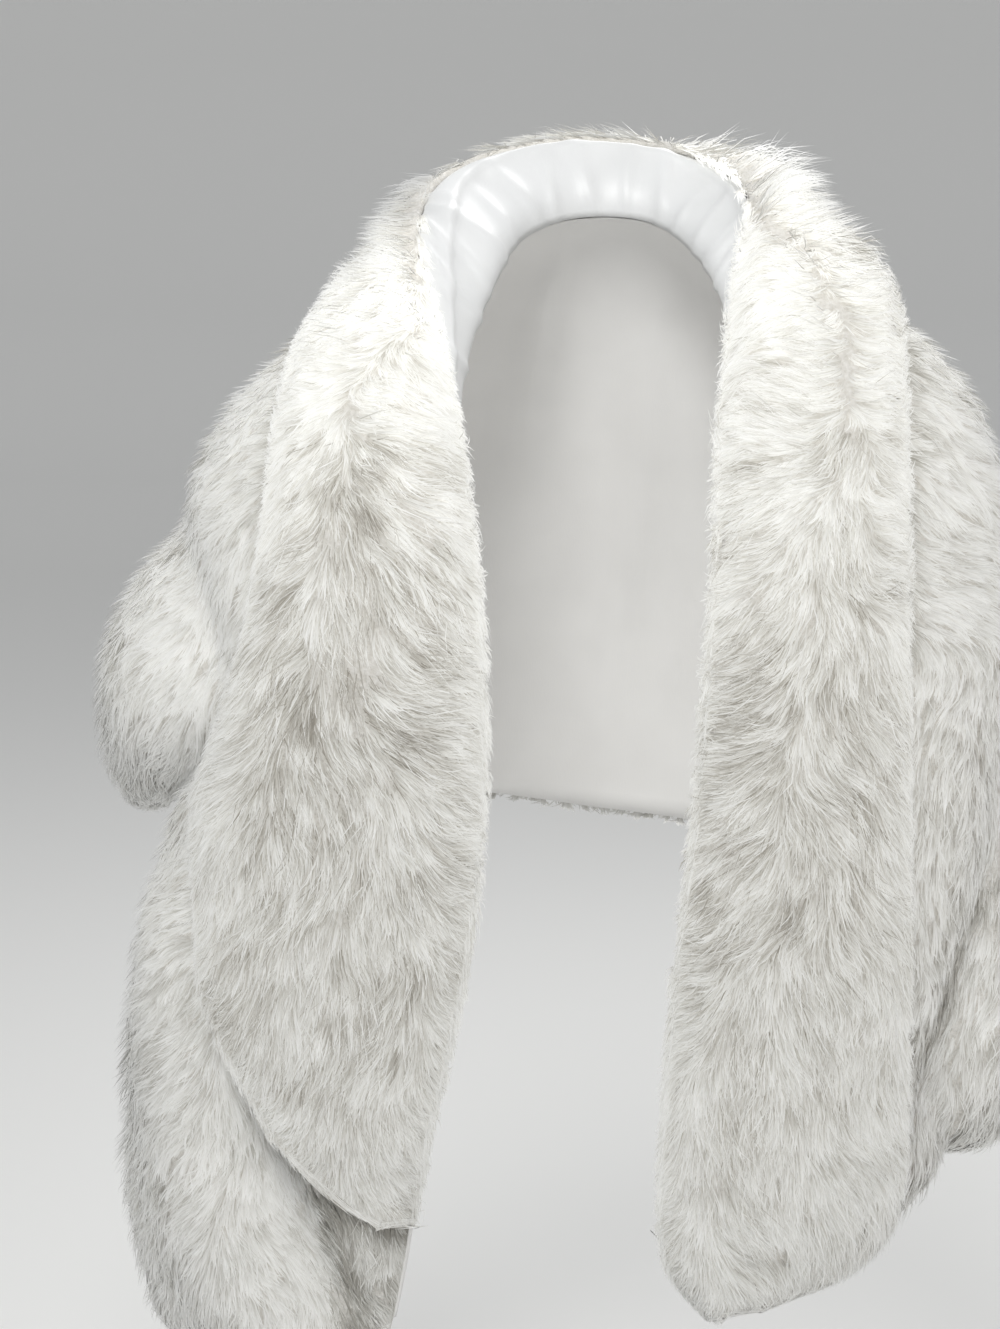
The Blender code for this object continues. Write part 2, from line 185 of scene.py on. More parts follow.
COLLAR_COMBS = [Comb(*row) for row in (
    (-160, 41, -32, 0.1), (-165, -17, -37, 0.1), (-197, -49, -45, 0.2), (-225, -56, -53, 0.3),
    (-134, -55, 53, 0.2), (-163, -76, 66, 0.4), (-128, -86, 72, 0.4), (-196, -74, -45, 0.3),
    (-166, -107, 53, 0.8), (-131, -117, 63, 0.5), (-196, -108, -37, 0.6), (-226, -107, -45, 0.3),
    (-168, -139, 45, 1.0), (-140, -148, 59, 0.8), (-120, -149, 53, 0.3), (-201, -146, -37, 0.9),
    (-232, -145, -37, 0.4), (-179, -174, 37, 1.0), (-150, -179, 49, 1.0), (-122, -186, 53, 0.5),
    (-215, -178, -31, 1.0), (-245, -185, -37, 0.5), (-185, -209, 37, 1.0), (-156, -211, 49, 1.0),
    (-125, -224, 53, 0.5), (-225, -217, -24, 1.0), (-249, -226, -31, 0.6), (-192, -244, 27, 1.0),
    (-161, -250, 41, 1.0), (-124, -263, 53, 0.5), (-232, -263, -18, 0.9), (-251, -271, -24, 0.5),
    (-201, -284, 9, 0.9), (-169, -289, 31, 0.9), (-137, -295, 41, 0.7), (-113, -297, 53, 0.4),
    (-236, -316, -12, 0.8), (-253, -321, -18, 0.5), (-203, -337, 0, 0.8), (-170, -342, 18, 0.8),
    (-137, -349, 31, 0.7), (-116, -350, 53, 0.4), (-230, -369, -9, 0.8), (-249, -378, -18, 0.5),
    (-197, -397, 0, 0.8), (-164, -403, 9, 0.8), (-131, -410, 24, 0.6), (-227, -427, -6, 0.7),
    (-191, -452, 0, 0.7), (-151, -458, 12, 0.7), (-125, -461, 31, 0.5), (-215, -481, -6, 0.7),
    (-182, -514, 0, 0.6), (-152, -521, 9, 0.6), (-132, -527, 24, 0.5), (-195, -536, -3, 0.6),
    (-162, -573, 0, 0.5), (-145, -586, 6, 0.4), (103, 60, 63, 0.2), (136, 47, 103, 0.8),
    (154, 12, 84, 0.6), (181, -18, 87, 0.7), (81, 28, -70, 0.2), (75, -17, -77, 0.4),
    (107, 3, -45, 0.2), (85, -49, -81, 0.5), (118, -42, -60, 0.4), (72, -74, -78, 0.5),
    (110, -80, -74, 0.5), (74, -106, -78, 0.5), (109, -111, -71, 0.5), (134, -110, -54, 0.5),
    (74, -137, -76, 0.6), (109, -143, -59, 0.6), (136, -149, -26, 0.6), (67, -169, -66, 0.6),
    (102, -180, -31, 0.8), (135, -187, -6, 0.8), (168, -62, 70, 0.3), (185, -97, 70, 0.3),
    (165, -138, 70, 0.4), (195, -168, 70, 0.3), (162, -188, 70, 0.5), (64, -213, -59, 0.6),
    (95, -218, -45, 0.8), (128, -219, -12, 0.8), (162, -227, 14, 0.7), (194, -234, 24, 0.4),
    (59, -259, -59, 0.6), (89, -263, -52, 0.8), (122, -270, 0, 0.8), (155, -278, 12, 0.8),
    (188, -286, 21, 0.5), (53, -312, -59, 0.6), (83, -309, -47, 0.8), (116, -322, -3, 0.9),
    (149, -330, 6, 0.8), (178, -327, 18, 0.5), (48, -372, -55, 0.6), (78, -369, -41, 0.8),
    (110, -375, 0, 0.8), (143, -376, 6, 0.8), (171, -372, 18, 0.5), (45, -420, -45, 0.6),
    (72, -423, -31, 0.8), (105, -429, 0, 0.7), (145, -430, 9, 0.6), (42, -482, -37, 0.5),
    (73, -484, -18, 0.6), (113, -491, 0, 0.6), (146, -493, 6, 0.5), (38, -552, -24, 0.5),
    (74, -554, -6, 0.6), (114, -554, 0, 0.5), (141, -555, 6, 0.4), (38, -610, -18, 0.4),
    (76, -626, -6, 0.5), (116, -604, 0, 0.4),
)]

BODY_COMBS = [Comb(*row) for row in (
    (-254, -67, -31, 0.2), (-271, -113, -24, 0.2), (-279, -159, -24, 0.3), (-297, -177, -24, 0.3),
    (-308, -199, -32, 0.3), (-330, -220, -37, 0.3), (-343, -261, -37, 0.4), (-336, -302, -31, 0.4),
    (-326, -338, -24, 0.4), (-286, -229, -12, 0.1), (-285, -280, -12, 0.1), (-287, -322, -18, 0.1),
    (-300, -374, -58, 0.3), (-324, -393, -59, 0.3), (-277, -366, -49, 0.3), (-276, -406, -24, 0.3),
    (-314, -429, -49, 0.3), (-328, -451, -37, 0.3), (-262, -441, 12, 0.3), (-299, -474, -24, 0.4),
    (-328, -498, -31, 0.4), (-292, -528, -18, 0.4), (-258, -518, 6, 0.3), (-321, -545, -24, 0.4),
    (-278, -582, -6, 0.4), (-314, -599, -18, 0.4), (-241, -587, 6, 0.3), (-225, -638, 6, 0.4),
    (-271, -643, 0, 0.4), (-315, -659, -12, 0.4), (-175, -635, 6, 0.1), (-158, -671, 6, 0.1),
    (231, -86, 58, 0.3), (236, -145, 58, 0.3), (231, -210, 58, 0.3), (228, -263, -12, 0.3),
    (225, -316, -24, 0.4), (214, -369, -31, 0.4), (238, -367, -24, 0.4), (205, -430, -19, 0.4),
    (185, -471, -18, 0.4), (171, -523, -12, 0.3), (230, -437, -31, 0.5), (224, -513, -31, 0.5),
    (251, -478, -24, 0.5), (245, -533, -24, 0.4),
)]

# Lines where the pile is pressed down and in shade, painted into its tone: a place seen from the front, the
# line's half width in mm, and the shares of the pile's height and of its tone that are lost in the middle of
# it.
Groove = namedtuple("Groove", "x z width press dark")

GROOVES = [
    [
        Groove(-209, -585, 11, 0.45, 0.40),
        Groove(-205, -612, 13, 0.60, 0.64),
        Groove(-196, -654, 14, 0.60, 0.70),
        Groove(-194, -745, 14, 0.55, 0.66),
    ],
    [Groove(57, -153, 3, 0.55, 0.60), Groove(73, -159, 4, 0.50, 0.45), Groove(92, -149, 3, 0.20, 0.15)],
    [
        Groove(272, -360, 8, 0.30, 0.35),
        Groove(244, -406, 9, 0.45, 0.45),
        Groove(226, -443, 9, 0.50, 0.50),
        Groove(210, -486, 10, 0.50, 0.55),
        Groove(196, -516, 9, 0.35, 0.40),
    ],
    [Groove(-178, -94, 3, 0.20, 0.25), Groove(-182, -124, 4, 0.45, 0.50), Groove(-174, -146, 3, 0.20, 0.25)],
    [
        Groove(-206, -164, 3, 0.20, 0.20),
        Groove(-211, -213, 5, 0.45, 0.50),
        Groove(-207, -251, 5, 0.40, 0.45),
        Groove(-200, -284, 3, 0.15, 0.15),
    ],
    [Groove(101, -352, 4, 0.20, 0.20), Groove(104, -376, 6, 0.45, 0.45), Groove(110, -398, 4, 0.20, 0.20)],
    [Groove(84, -236, 4, 0.20, 0.20), Groove(97, -262, 5, 0.40, 0.35), Groove(103, -290, 4, 0.20, 0.20)],
]

# Round places that differ so, out to `reach` mm, with painted shade where dark is above 0. Where press is
# below 0 the pile stands up in a tuft.
Spot = namedtuple("Spot", "x z reach press dark")

SPOTS = [
    Spot(-158, -618, 34, 0.40, 0.36),
    Spot(-156, -676, 36, 0.40, 0.42),
    Spot(-160, -736, 36, 0.40, 0.42),
    Spot(153, 45, 8, -0.42, 0.0),
    Spot(164, 33, 6, -0.30, 0.0),
    Spot(188, 3, 9, -0.32, 0.0),
    Spot(211, -24, 8, -0.34, 0.0),
    Spot(-208, -4, 8, -0.25, 0.0),
    Spot(-318, -205, 9, -0.25, 0.0),
    Spot(146, -96, 17, 0.10, 0.10),
]

Crease = namedtuple("Crease", "along across turn length width depth")

# Soft ridges of the satin round the neck: `across` is 0 at the neck seam, 1 at the collar's fold and 2 where
# the fur starts, and `turn` is degrees from running along the neck.
FACING_CREASES = [Crease(*row) for row in (
    (8.6, 0.55, 78, 34, 5.0, 2.4), (9.2, 1.55, 30, 20, 3.2, 2.0), (9.5, 1.25, 42, 17, 2.4, 2.2),
    (9.7, 1.68, 24, 19, 2.6, 2.4), (9.9, 1.35, 36, 21, 2.8, 2.5), (10.1, 1.75, 28, 16, 2.2, 2.1),
    (10.3, 1.45, 48, 18, 3.0, 2.2), (10.6, 1.62, 60, 22, 3.6, 1.8), (9.3, 0.60, 84, 40, 6.0, 3.0),
    (9.8, 0.45, 70, 28, 4.2, 2.1), (10.3, 0.62, 95, 44, 6.5, 3.3), (10.9, 0.50, 84, 36, 5.0, 2.4),
    (11.5, 0.60, 98, 42, 7.0, 3.2), (12.1, 0.45, 80, 30, 4.6, 2.2), (12.7, 0.55, 92, 40, 6.6, 2.8),
    (13.4, 0.50, 86, 34, 5.2, 2.1), (14.0, 0.60, 100, 42, 6.8, 3.0), (14.7, 0.45, 82, 30, 4.4, 2.0),
    (15.3, 0.58, 94, 40, 6.0, 2.8), (16.0, 0.55, 76, 32, 4.6, 2.2), (15.9, 1.35, 38, 14, 2.2, 1.5),
    (16.3, 1.15, 52, 16, 2.6, 1.8), (16.8, 0.60, 88, 36, 5.4, 2.5), (17.5, 0.52, 74, 30, 4.4, 1.8),
)]

# Soft ridges of the lining towards the wearer, with `turn` in degrees from running along the wrap.
LINING_CREASES = [Crease(*row) for row in (
    (1.2, 0.42, 8, 74, 9, 6.3), (2.9, 0.60, -6, 96, 11, 7.9), (4.4, 0.35, 14, 80, 8, 6.0),
    (5.9, 0.72, 24, 88, 12, 8.6), (7.1, 0.40, 58, 92, 10, 7.4), (8.2, 0.66, 74, 118, 13, 9.1),
    (9.0, 0.30, 82, 76, 8, 5.7), (9.8, 0.62, 88, 130, 12, 8.6), (10.7, 0.40, 94, 104, 9, 6.9),
    (11.6, 0.70, 86, 138, 14, 9.4), (12.5, 0.44, 91, 116, 10, 7.6), (13.3, 0.66, 97, 146, 13, 8.9),
    (14.2, 0.38, 86, 96, 9, 6.3), (15.0, 0.68, 92, 134, 14, 9.8), (15.8, 0.42, 99, 108, 10, 7.2),
    (16.8, 0.64, 104, 126, 12, 8.6), (17.6, 0.34, 112, 84, 8, 6.0), (18.6, 0.60, 122, 104, 12, 8.2),
    (19.9, 0.42, 150, 88, 9, 6.9), (21.3, 0.66, 168, 98, 11, 7.6), (22.6, 0.36, 176, 76, 8, 5.7),
    (23.9, 0.55, 184, 82, 10, 6.6),
)]

Strand = namedtuple("Strand", "many thick bends widths heights short")

# The two kinds of blade in a lock: how many there are, their width, where they bend along their length, with
# their width and their height in the pile at each place, and the least share of the lock's length they have.
STRANDS = [
    Strand(8, 0.95, (0.0, 0.38, 0.72, 1.0), (0.0, 1.0, 0.82, 0.0), (0.52, 0.80, 0.95, 1.00), 0.74),
    Strand(9, 1.15, (0.0, 0.55, 1.0), (0.0, 1.0, 0.0), (0.52, 0.78, 0.90), 0.52),
]
PATH_STEPS = 8
# The share of blades that stand out of their lock, finer than the rest, and by how much of the pile's height.
# At the brink of a free edge there are more of them.
STRAY_SHARE = 0.15
STRAY_LIFT = 0.42
BRINK_STRAYS = 0.40
# How much of a blade's own facing shows in its shading: the rest is the facing of the coat under it, as in a
# real pile, where light comes through the hairs.
OWN_SHADE = 0.5
# How far hair goes on past a free edge, and over what distance it droops there, in mm.
EDGE_SLACK = 9.0
EDGE_DROOP = 13.0
# How far a free edge is felt in the pile, and how far and how strongly it turns the hair outwards.
BRINK_REACH = 13.0
FUZZ_REACH = 9.0
FUZZ_TURN = 1.1
# How many locks stand together in a tuft, how strongly they share its bend and height and its tone, and by how
# much they are lower at its rim and darker there, as painted shade between the tufts.
TUFT_LOCKS = 6
TUFT_SHARE = 0.8
TUFT_TONE_SHARE = 0.7
TUFT_RIM_DROP = 0.09
TUFT_RIM_PAINTED_SHADE = 0.22
# How far a tuft draws its locks to its middle, and how late along their length.
TUFT_DRAW = 0.72
TUFT_DRAW_POWER = 1.6
# The locks' tone, 0 to 1: its middle, its spread from lock to lock and over the coat, what the collar's shade
# takes off and what a free edge adds.
TONE_MIDDLE = 0.77
TONE_SPREAD = 0.11
TONE_DRIFT = 0.05
TONE_SHADE = 0.48
TONE_BRINK = 0.20
# How the blades of a lock differ: in tone, in painted shade for how low they lie in it, and in painted shade
# and height at the lock's rim.
BLADE_SPREAD = 0.08
BLADE_DEPTH_PAINTED_SHADE = 1.2
LOCK_RIM_PAINTED_SHADE = 0.34
LOCK_RIM_DROP = 0.10
# The length and radius of locks in mm, where the pile is smooth and where it is loose.
LOCK_LENGTH = 22.0, 43.0
LOCK_RADIUS = 2.1, 3.9
# The share of the pile's height that the pelts fill, how far they stop short of the ends and the hem, as
# shares of a section and of the width, and the faces across them and to a section along them.
PELT_SHARE = 0.62
PELT_END = 0.04
PELT_HEM = 0.985
PELT_FACES = 22, 4
LINING_FACES = 56, 9.5
FACING_FACES = 28, 260
# How the facing's rows are shared out: most lie round the neck, where its ridges are.
FACING_SHARES = 0.0, 0.2, 0.8, 1.0
FACING_PLACES = FACING_RIGHT_FOOT, 8.0, 18.0, FACING_LEFT_FOOT
# How far roots are drawn to where the combed ways part, in mm, so that no parting is bare.
PARTING_REACH = 24.0
# How softly the rows of a table of combs blend, in square mm.
COMB_BLEND = 110.0
# How far the grids reach past their coats, in sections and in shares of the width, and how fine they are.
SPARE_ALONG = 0.35
SPARE_ACROSS = 0.12
GRID_TO_SECTION = 14
GRID_ACROSS = 66
# How far under the collar the body's fur goes on, over what distance it ends, and how far out the collar's
# edge throws its shade, in mm.
COVER_MARGIN = 26.0
COVER_WIDTH = 14.0
SHADE_REACH = 13.0
TONES = 64


def smooth(share):
    """0 to 1 with level ends."""
    share = np.clip(share, 0.0, 1.0)
    return share * share * (3.0 - 2.0 * share)


def mix(first, last, share):
    return first * (1.0 - share) + last * share


def unit(vectors):
    return vectors / np.maximum(np.linalg.norm(vectors, axis=-1, keepdims=True), 1e-9)


def dot(a, b):
    return (a * b).sum(-1)


def through(values, place):
    """The values at places on the smooth curve through evenly spaced values, carried on straight past it."""
    last = len(values) - 1
    padded = np.concatenate([[2 * values[0] - values[1]], values, [2 * values[-1] - values[-2]]])
    low = np.clip(np.floor(place).astype(int), 0, last - 1)
    before, a, b, after = (padded[low + step] for step in range(4))
    shape = (-1,) + (1,) * (values.ndim - 1)
    place = place.reshape(shape)
    t = place - low.reshape(shape)
    out = (b - before) * 0.5
    into = (after - a) * 0.5
    inside = a * (2 * t**3 - 3 * t**2 + 1) + out * (t**3 - 2 * t**2 + t)
    inside = inside + b * (3 * t**2 - 2 * t**3) + into * (t**3 - t**2)
    under = values[0] + (values[1] - values[0]) * place
    over = values[last] + (values[last] - values[last - 1]) * (place - last)
    return np.where(place <= 0, under, np.where(place >= last, over, inside))


def column_of(table, name):
    return np.array([getattr(row, name) for row in table], float)


CAGE = [column_of(SECTIONS, name) for name in ("seam", "over", "side", "hem")]
COLLAR_PLACES = column_of(COLLAR, "along")
COLLAR_COLUMNS = {name: column_of(COLLAR, name) for name in CollarRow._fields}


def flat_point(along, across):
    """Points of the cloth before its folds."""
    seam, over, side, hem = (through(column, along) for column in CAGE)
    across = across[:, None]
    left = 1.0 - across
    return seam * left**3 + over * (3 * left**2 * across) + side * (3 * left * across**2) + hem * across**3


def normal_of(surface, along, across):
    along_way = surface(along + STEP, across) - surface(along - STEP, across)
    across_way = surface(along, across + STEP) - surface(along, across - STEP)
    return unit(np.cross(along_way, across_way))


def fold_share(fold, run, place):
    share = (run - fold.first) / (fold.last - fold.first)
    centre = mix(fold.at_first, fold.at_last, share)
    fade = smooth(share * 4) * smooth((1 - share) * 4)
    return fade * np.exp(-(((place - centre) / fold.width) ** 2))


def folds(column, along, across):
    """The sum of a column of the folds' tables at places on the cloth."""
    total = sum(getattr(fold, column) * fold_share(fold, along, across) for fold in LONG_FOLDS)
    return total + sum(getattr(fold, column) * fold_share(fold, across, along) for fold in CROSS_FOLDS)


def cloth_point(along, across):
    """Points of the inside of the lining, folds included."""
    height = folds("depth", along, across)
    return flat_point(along, across) + normal_of(flat_point, along, across) * height[:, None]


def resting_point(along, across):
    """The cloth as what lies on it sees it: its rolls are followed and its valleys are bridged."""
    height = folds("depth", along, across)
    height = (height + np.sqrt(height * height + 4.0)) / 2
    return flat_point(along, across) + normal_of(flat_point, along, across) * height[:, None]


def above(surface, along, across, height):
    """Points this far outside a surface of (along, across)."""
    return surface(along, across) + normal_of(surface, along, across) * np.reshape(height, (-1, 1))


def measured_lengths(places, steps=12):
    """The length of the cloth from the neck seam to the hem at each of these places along."""
    points = [flat_point(places, np.full(len(places), step / steps)) for step in range(steps + 1)]
    return sum(np.linalg.norm(b - a, axis=1) for a, b in zip(points, points[1:]))


LENGTH_PLACES = np.linspace(-1.0, 26.0, 811)
LENGTHS = measured_lengths(LENGTH_PLACES)


def section_length(along):
    return np.interp(along, LENGTH_PLACES, LENGTHS)


def collar_value(column, along):
    """A column of the collar's table at places along it."""
    low = np.clip(np.searchsorted(COLLAR_PLACES, along) - 1, 0, len(COLLAR_PLACES) - 2)
    share = (along - COLLAR_PLACES[low]) / (COLLAR_PLACES[low + 1] - COLLAR_PLACES[low])
    return through(COLLAR_COLUMNS[column], low + share)


FOLD_LIFTS = collar_value("edge", LENGTH_PLACES) - above(
    resting_point, LENGTH_PLACES, np.zeros(len(LENGTH_PLACES)), BODY_TOP + COLLAR_GAP
)


def collar_base(along, reach):
    """Points of the collar's underside."""
    across = reach * collar_value("width", along) / section_length(along)
    lying = above(resting_point, along, across, BODY_TOP + COLLAR_GAP)
    fold = np.stack([np.interp(along, LENGTH_PLACES, column) for column in FOLD_LIFTS.T], axis=1)
    return lying + fold * (1.0 - smooth(reach / 0.85))[:, None]


def fur_base(along, across):
    """Points of the underside of the body's fur."""
    return above(cloth_point, along, across, FUR_BASE)


def pile_share(distance):
    return mix(EDGE_SHARE, 1.0, smooth(distance / EDGE_WIDTH))


def body_pile(along, across):
    """The height of the body's fur, which thins towards its edges and is pressed down in the valleys."""
    length = section_length(along)
    here = flat_point(along, across)
    ends = [flat_point(np.full(len(along), foot), across) for foot in (RIGHT_FOOT, LEFT_FOOT)]
    run = np.minimum(*[np.linalg.norm(end - here, axis=1) for end in ends])
    share = pile_share(np.minimum((1.0 - across) * length, run))
    share = np.minimum(share, mix(NECK_SHARE, 1.0, smooth(across * length / NECK_WIDTH)))
    return BODY_PILE * share * (1.0 - np.minimum(folds("thin", along, across), 0.75))


def collar_pile(along, reach):
    """The height of the collar's fur, which thins towards its edges."""
    width = collar_value("width", along)
    start = collar_value("satin", along) / width
    here = collar_base(along, reach)
    ends = [collar_base(np.full(len(along), foot), reach) for foot in (COLLAR_RIGHT_FOOT, COLLAR_LEFT_FOOT)]
    run = np.minimum(*[np.linalg.norm(end - here, axis=1) for end in ends])
    edge = np.minimum((reach - start) * width, (1.0 - reach) * width)
    return collar_value("pile", along) * pile_share(np.minimum(edge, run))


def facing_point(along, run):
    """Points of the satin round the neck."""
    neck = np.zeros(len(along))
    shown = collar_value("satin", along) - SEAM_GAP * 3
    rolled = collar_base(along, np.maximum(run - 1.0, 0.0) * shown / collar_value("width", along))
    rise = normal_of(cloth_point, along, neck)
    inward = unit(cloth_point(along, neck) - cloth_point(along, neck + STEP))
    foot = cloth_point(along, neck) + rise * (LINING_THICK + SEAM_GAP) + inward * SEAM_GAP
    fold = collar_value("edge", along)
    height = np.linalg.norm(fold - foot, axis=1)[:, None]
    run = run[:, None]
    left = 1.0 - run
    low = foot + rise * height * 0.4
    high = fold + unit(fold - collar_base(along, neck + STEP)) * height * 0.12 - rise * height * 0.25
    stand = foot * left**3 + low * (3 * left**2 * run) + high * (3 * left * run**2) + fold * run**3
    return np.where(run > 1.0, rolled, stand)


def facing_normal(along, run):
    ahead = facing_point(along, np.minimum(2.0, run + STEP))
    ahead = ahead - facing_point(along, np.maximum(0.0, run - STEP))
    sideways = facing_point(along + STEP, run) - facing_point(along - STEP, run)
    return unit(np.cross(sideways, ahead))


def crease_height(creases, surface, along, across):
    """The height of these soft ridges at places on a surface. Each swells evenly and fades at its ends."""
    total = np.zeros(len(along))
    for crease in creases:
        at = np.array([crease.along]), np.array([crease.across])
        along_way = (surface(at[0] + STEP, at[1]) - surface(at[0] - STEP, at[1]))[0] / (2 * STEP)
        across_way = (surface(at[0], at[1] + STEP) - surface(at[0], at[1] - STEP))[0] / (2 * STEP)
        x = (along - crease.along) * np.linalg.norm(along_way)
        y = (across - crease.across) * np.linalg.norm(across_way)
        turn = math.radians(crease.turn)
        ahead = x * math.cos(turn) + y * math.sin(turn)
        aside = y * math.cos(turn) - x * math.sin(turn)
        total += crease.depth * np.exp(-((ahead / crease.length) ** 2) - (aside / crease.width) ** 2)
    return total


def ripple(points, size, seed):
    """Smooth unevenness of about this size in mm, mostly from -1 to 1."""
    draw = np.random.default_rng(seed)
    total = 0.0
    for _ in range(7):
        way = unit(draw.normal(size=3)) * (math.tau / size) * draw.uniform(0.6, 1.5)
        total = total + np.sin(points @ way + draw.uniform(0, math.tau))
    return total / 2.6


def wall(name, columns, rows, inner, outer, look):
    """A closed wall between two nets of points, each a function of the row's and column's shares, 0 to 1."""
    made = bmesh.new()
    bmesh.ops.create_grid(made, x_segments=columns, y_segments=rows, size=0.5)
    low_net = list(made.verts)
    bottom = list(made.faces)
    top = bmesh.ops.extrude_face_region(made, geom=bottom, use_keep_orig=True)["geom"]
    high_net = [part for part in top if isinstance(part, bmesh.types.BMVert)]
    bmesh.ops.translate(made, verts=high_net, vec=(0.0, 0.0, 0.1))
    bmesh.ops.recalc_face_normals(made, faces=made.faces)
    for net, place in ((low_net, inner), (high_net, outer)):
        shares = np.array([(vert.co.y + 0.5, vert.co.x + 0.5) for vert in net])
        points = place(np.clip(shares[:, 0], 0, 1), np.clip(shares[:, 1], 0, 1)) * MM
        for vert, point in zip(net, points):
            vert.co = point
    if made.calc_volume(signed=True) < 0:
        bmesh.ops.reverse_faces(made, faces=made.faces)
    return finished(name, made, look)


def finished(name, made, look):
    mesh = bpy.data.meshes.new(name)
    made.to_mesh(mesh)
    made.free()
    mesh.shade_smooth()
    piece = bpy.data.objects.new(name, mesh)
    bpy.context.scene.collection.objects.link(piece)
    mesh.materials.append(look)
    return piece


def comb_way(combs, points):
    """The combed way and the looseness at points, from the nearest rows of a table."""
    seen = points[:, [0, 2]]
    rows = np.stack([column_of(combs, "x"), column_of(combs, "z")], axis=1)
    swings = np.radians(column_of(combs, "swing"))
    ways = np.stack([np.sin(swings), np.zeros(len(combs)), -np.cos(swings)], axis=1)
    weight = 1.0 / (((seen[:, None] - rows[None]) ** 2).sum(-1) + COMB_BLEND) ** 2
    weight /= weight.sum(1, keepdims=True)
    return weight @ ways, weight @ column_of(combs, "loose")


def marks(points):
    """The press and the shade of the grooves and spots at points."""
    seen = points[:, [0, 2]]
    press, dark = np.zeros(len(points)), np.zeros(len(points))
    for line in GROOVES:
        for first, last in zip(line, line[1:]):
            start = np.array([first.x, first.z], float)
            way = np.array([last.x, last.z]) - start
            share = np.clip(((seen - start) @ way) / (way @ way), 0.0, 1.0)
            apart = np.linalg.norm(seen - start - share[:, None] * way, axis=1)
            near = np.exp(-((apart / mix(first.width, last.width, share)) ** 2))
            press = np.maximum(press, near * mix(first.press, last.press, share))
            dark = np.maximum(dark, near * mix(first.dark, last.dark, share))
    for spot in SPOTS:
        near = np.exp(-((np.linalg.norm(seen - (spot.x, spot.z), axis=1) / spot.reach) ** 2))
        press = press + near * spot.press
        dark = dark + near * spot.dark
    return np.clip(press, -0.45, 0.72), np.clip(dark, 0.0, 0.75)


def rates(along_way, across_way, way):
    """How fast along and across change for a step of 1 mm this way over the surface."""
    aa, ab, bb = dot(along_way, along_way), dot(along_way, across_way), dot(across_way, across_way)
    pa, pb = dot(along_way, way), dot(across_way, way)
    spread = np.maximum(aa * bb - ab * ab, 1e-6)
    return np.stack([(pa * bb - pb * ab) / spread, (pb * aa - pa * ab) / spread], axis=-1)


def outward_fuzz(distance):
    """How much of a blade's way is towards a free edge this far off."""
    return FUZZ_TURN * np.exp(-np.maximum(distance, 0.0) / FUZZ_REACH)


# What a coat's grid holds at each of its points, with how many numbers each takes.
CHANNELS = {
    "point": 3,
    "normal": 3,
    "flow": 2,
    "aside": 2,
    "height": 1,
    "loose": 1,
    "need": 1,
    "pace": 1,
    "span": 1,
    "dark": 1,
    "outward": 3,
    "onward": 3,
    "brink": 1,
}


def coat_grid(coat):
    """Everything that the blades of a coat need, on an even grid over it."""
    kind = coat.kind
    many = int((coat.last - coat.first) * GRID_TO_SECTION) + 10
    alongs = np.linspace(coat.first - SPARE_ALONG, coat.last + SPARE_ALONG, many)
    acrosses = np.linspace(-SPARE_ACROSS, 1.0 + SPARE_ACROSS, GRID_ACROSS)
    along, across = (net.ravel() for net in np.meshgrid(alongs, acrosses, indexing="ij"))
    shape = (len(alongs), len(acrosses))
    point = kind.base(along, across)
    normal = normal_of(kind.base, along, across)
    height = kind.pile(along, across) * (1.0 + 0.09 * ripple(point, 62, 7))
    net = point.reshape(*shape, 3)
    along_way = np.gradient(net, alongs, axis=0).reshape(-1, 3)
    across_way = np.gradient(net, acrosses, axis=1).reshape(-1, 3)
    outward, onward = unit(across_way), unit(along_way)

    # In front the hair is combed as the table says, and behind it falls straight down and outwards.
    combed, loose = comb_way(kind.combs, point)
    behind = smooth((normal[:, 1] + 0.25) / 0.6)[:, None]
    way = combed * (1 - behind) + (np.array([0.0, 0.0, -1.0]) + outward * 0.6) * behind
    loose = loose * (1 - behind[:, 0]) + 0.5 * behind[:, 0]
    press, dark = (share * (1 - behind[:, 0]) for share in marks(point))
    height = height * (1 - press)
    loose = loose * (1 - np.maximum(press, 0.0))
    way = way - normal * dot(way, normal)[:, None]
    way = way + outward * np.maximum(0.45 - np.linalg.norm(way, axis=1), 0.0)[:, None]
    way = unit(way)
    turn = 0.34 * ripple(point, 85, 3) + 0.20 * ripple(point, 32, 5)
    aside = np.cross(normal, way)
    way = way * np.cos(turn)[:, None] + aside * np.sin(turn)[:, None]

    # At free edges it turns outwards.
    span = kind.width(along)
    pace = np.linalg.norm(along_way, axis=1)
    to_hem, to_low = (1.0 - across) * span, (across - kind.low(along)) * span
    to_first, to_last = (along - coat.first) * pace, (coat.last - along) * pace
    edges = [to_hem] + [reach for free, reach in zip(coat.free, (to_low, to_first, to_last)) if free]
    brink = np.exp(-np.maximum(np.min(edges, axis=0), 0.0) / BRINK_REACH)
    way = way + outward * (outward_fuzz(to_hem) - coat.free.low * outward_fuzz(to_low))[:, None]
    way = way + onward * (coat.free.last * outward_fuzz(to_last))[:, None]
    way = way - onward * (coat.free.first * outward_fuzz(to_first))[:, None]
    way = unit(way - normal * dot(way, normal)[:, None])
    aside = rates(along_way, across_way, np.cross(normal, way))
    flow = rates(along_way, across_way, way)
    flow_net = flow.reshape(*shape, 2)
    parting = np.gradient(flow_net[..., 0], alongs, axis=0) + np.gradient(flow_net[..., 1], acrosses, axis=1)
    parting = np.clip(parting.reshape(-1) * PARTING_REACH, -0.5, 2.2)
    need = np.linalg.norm(np.cross(along_way, across_way), axis=1) * (1.0 + parting)

    values = [point, normal, flow, aside, height, loose, need, pace, span, dark, outward, onward, brink]
    nets = [np.reshape(value, (len(along), width)) for value, width in zip(values, CHANNELS.values())]
    return alongs, acrosses, np.concatenate(nets, axis=1).reshape(*shape, -1)


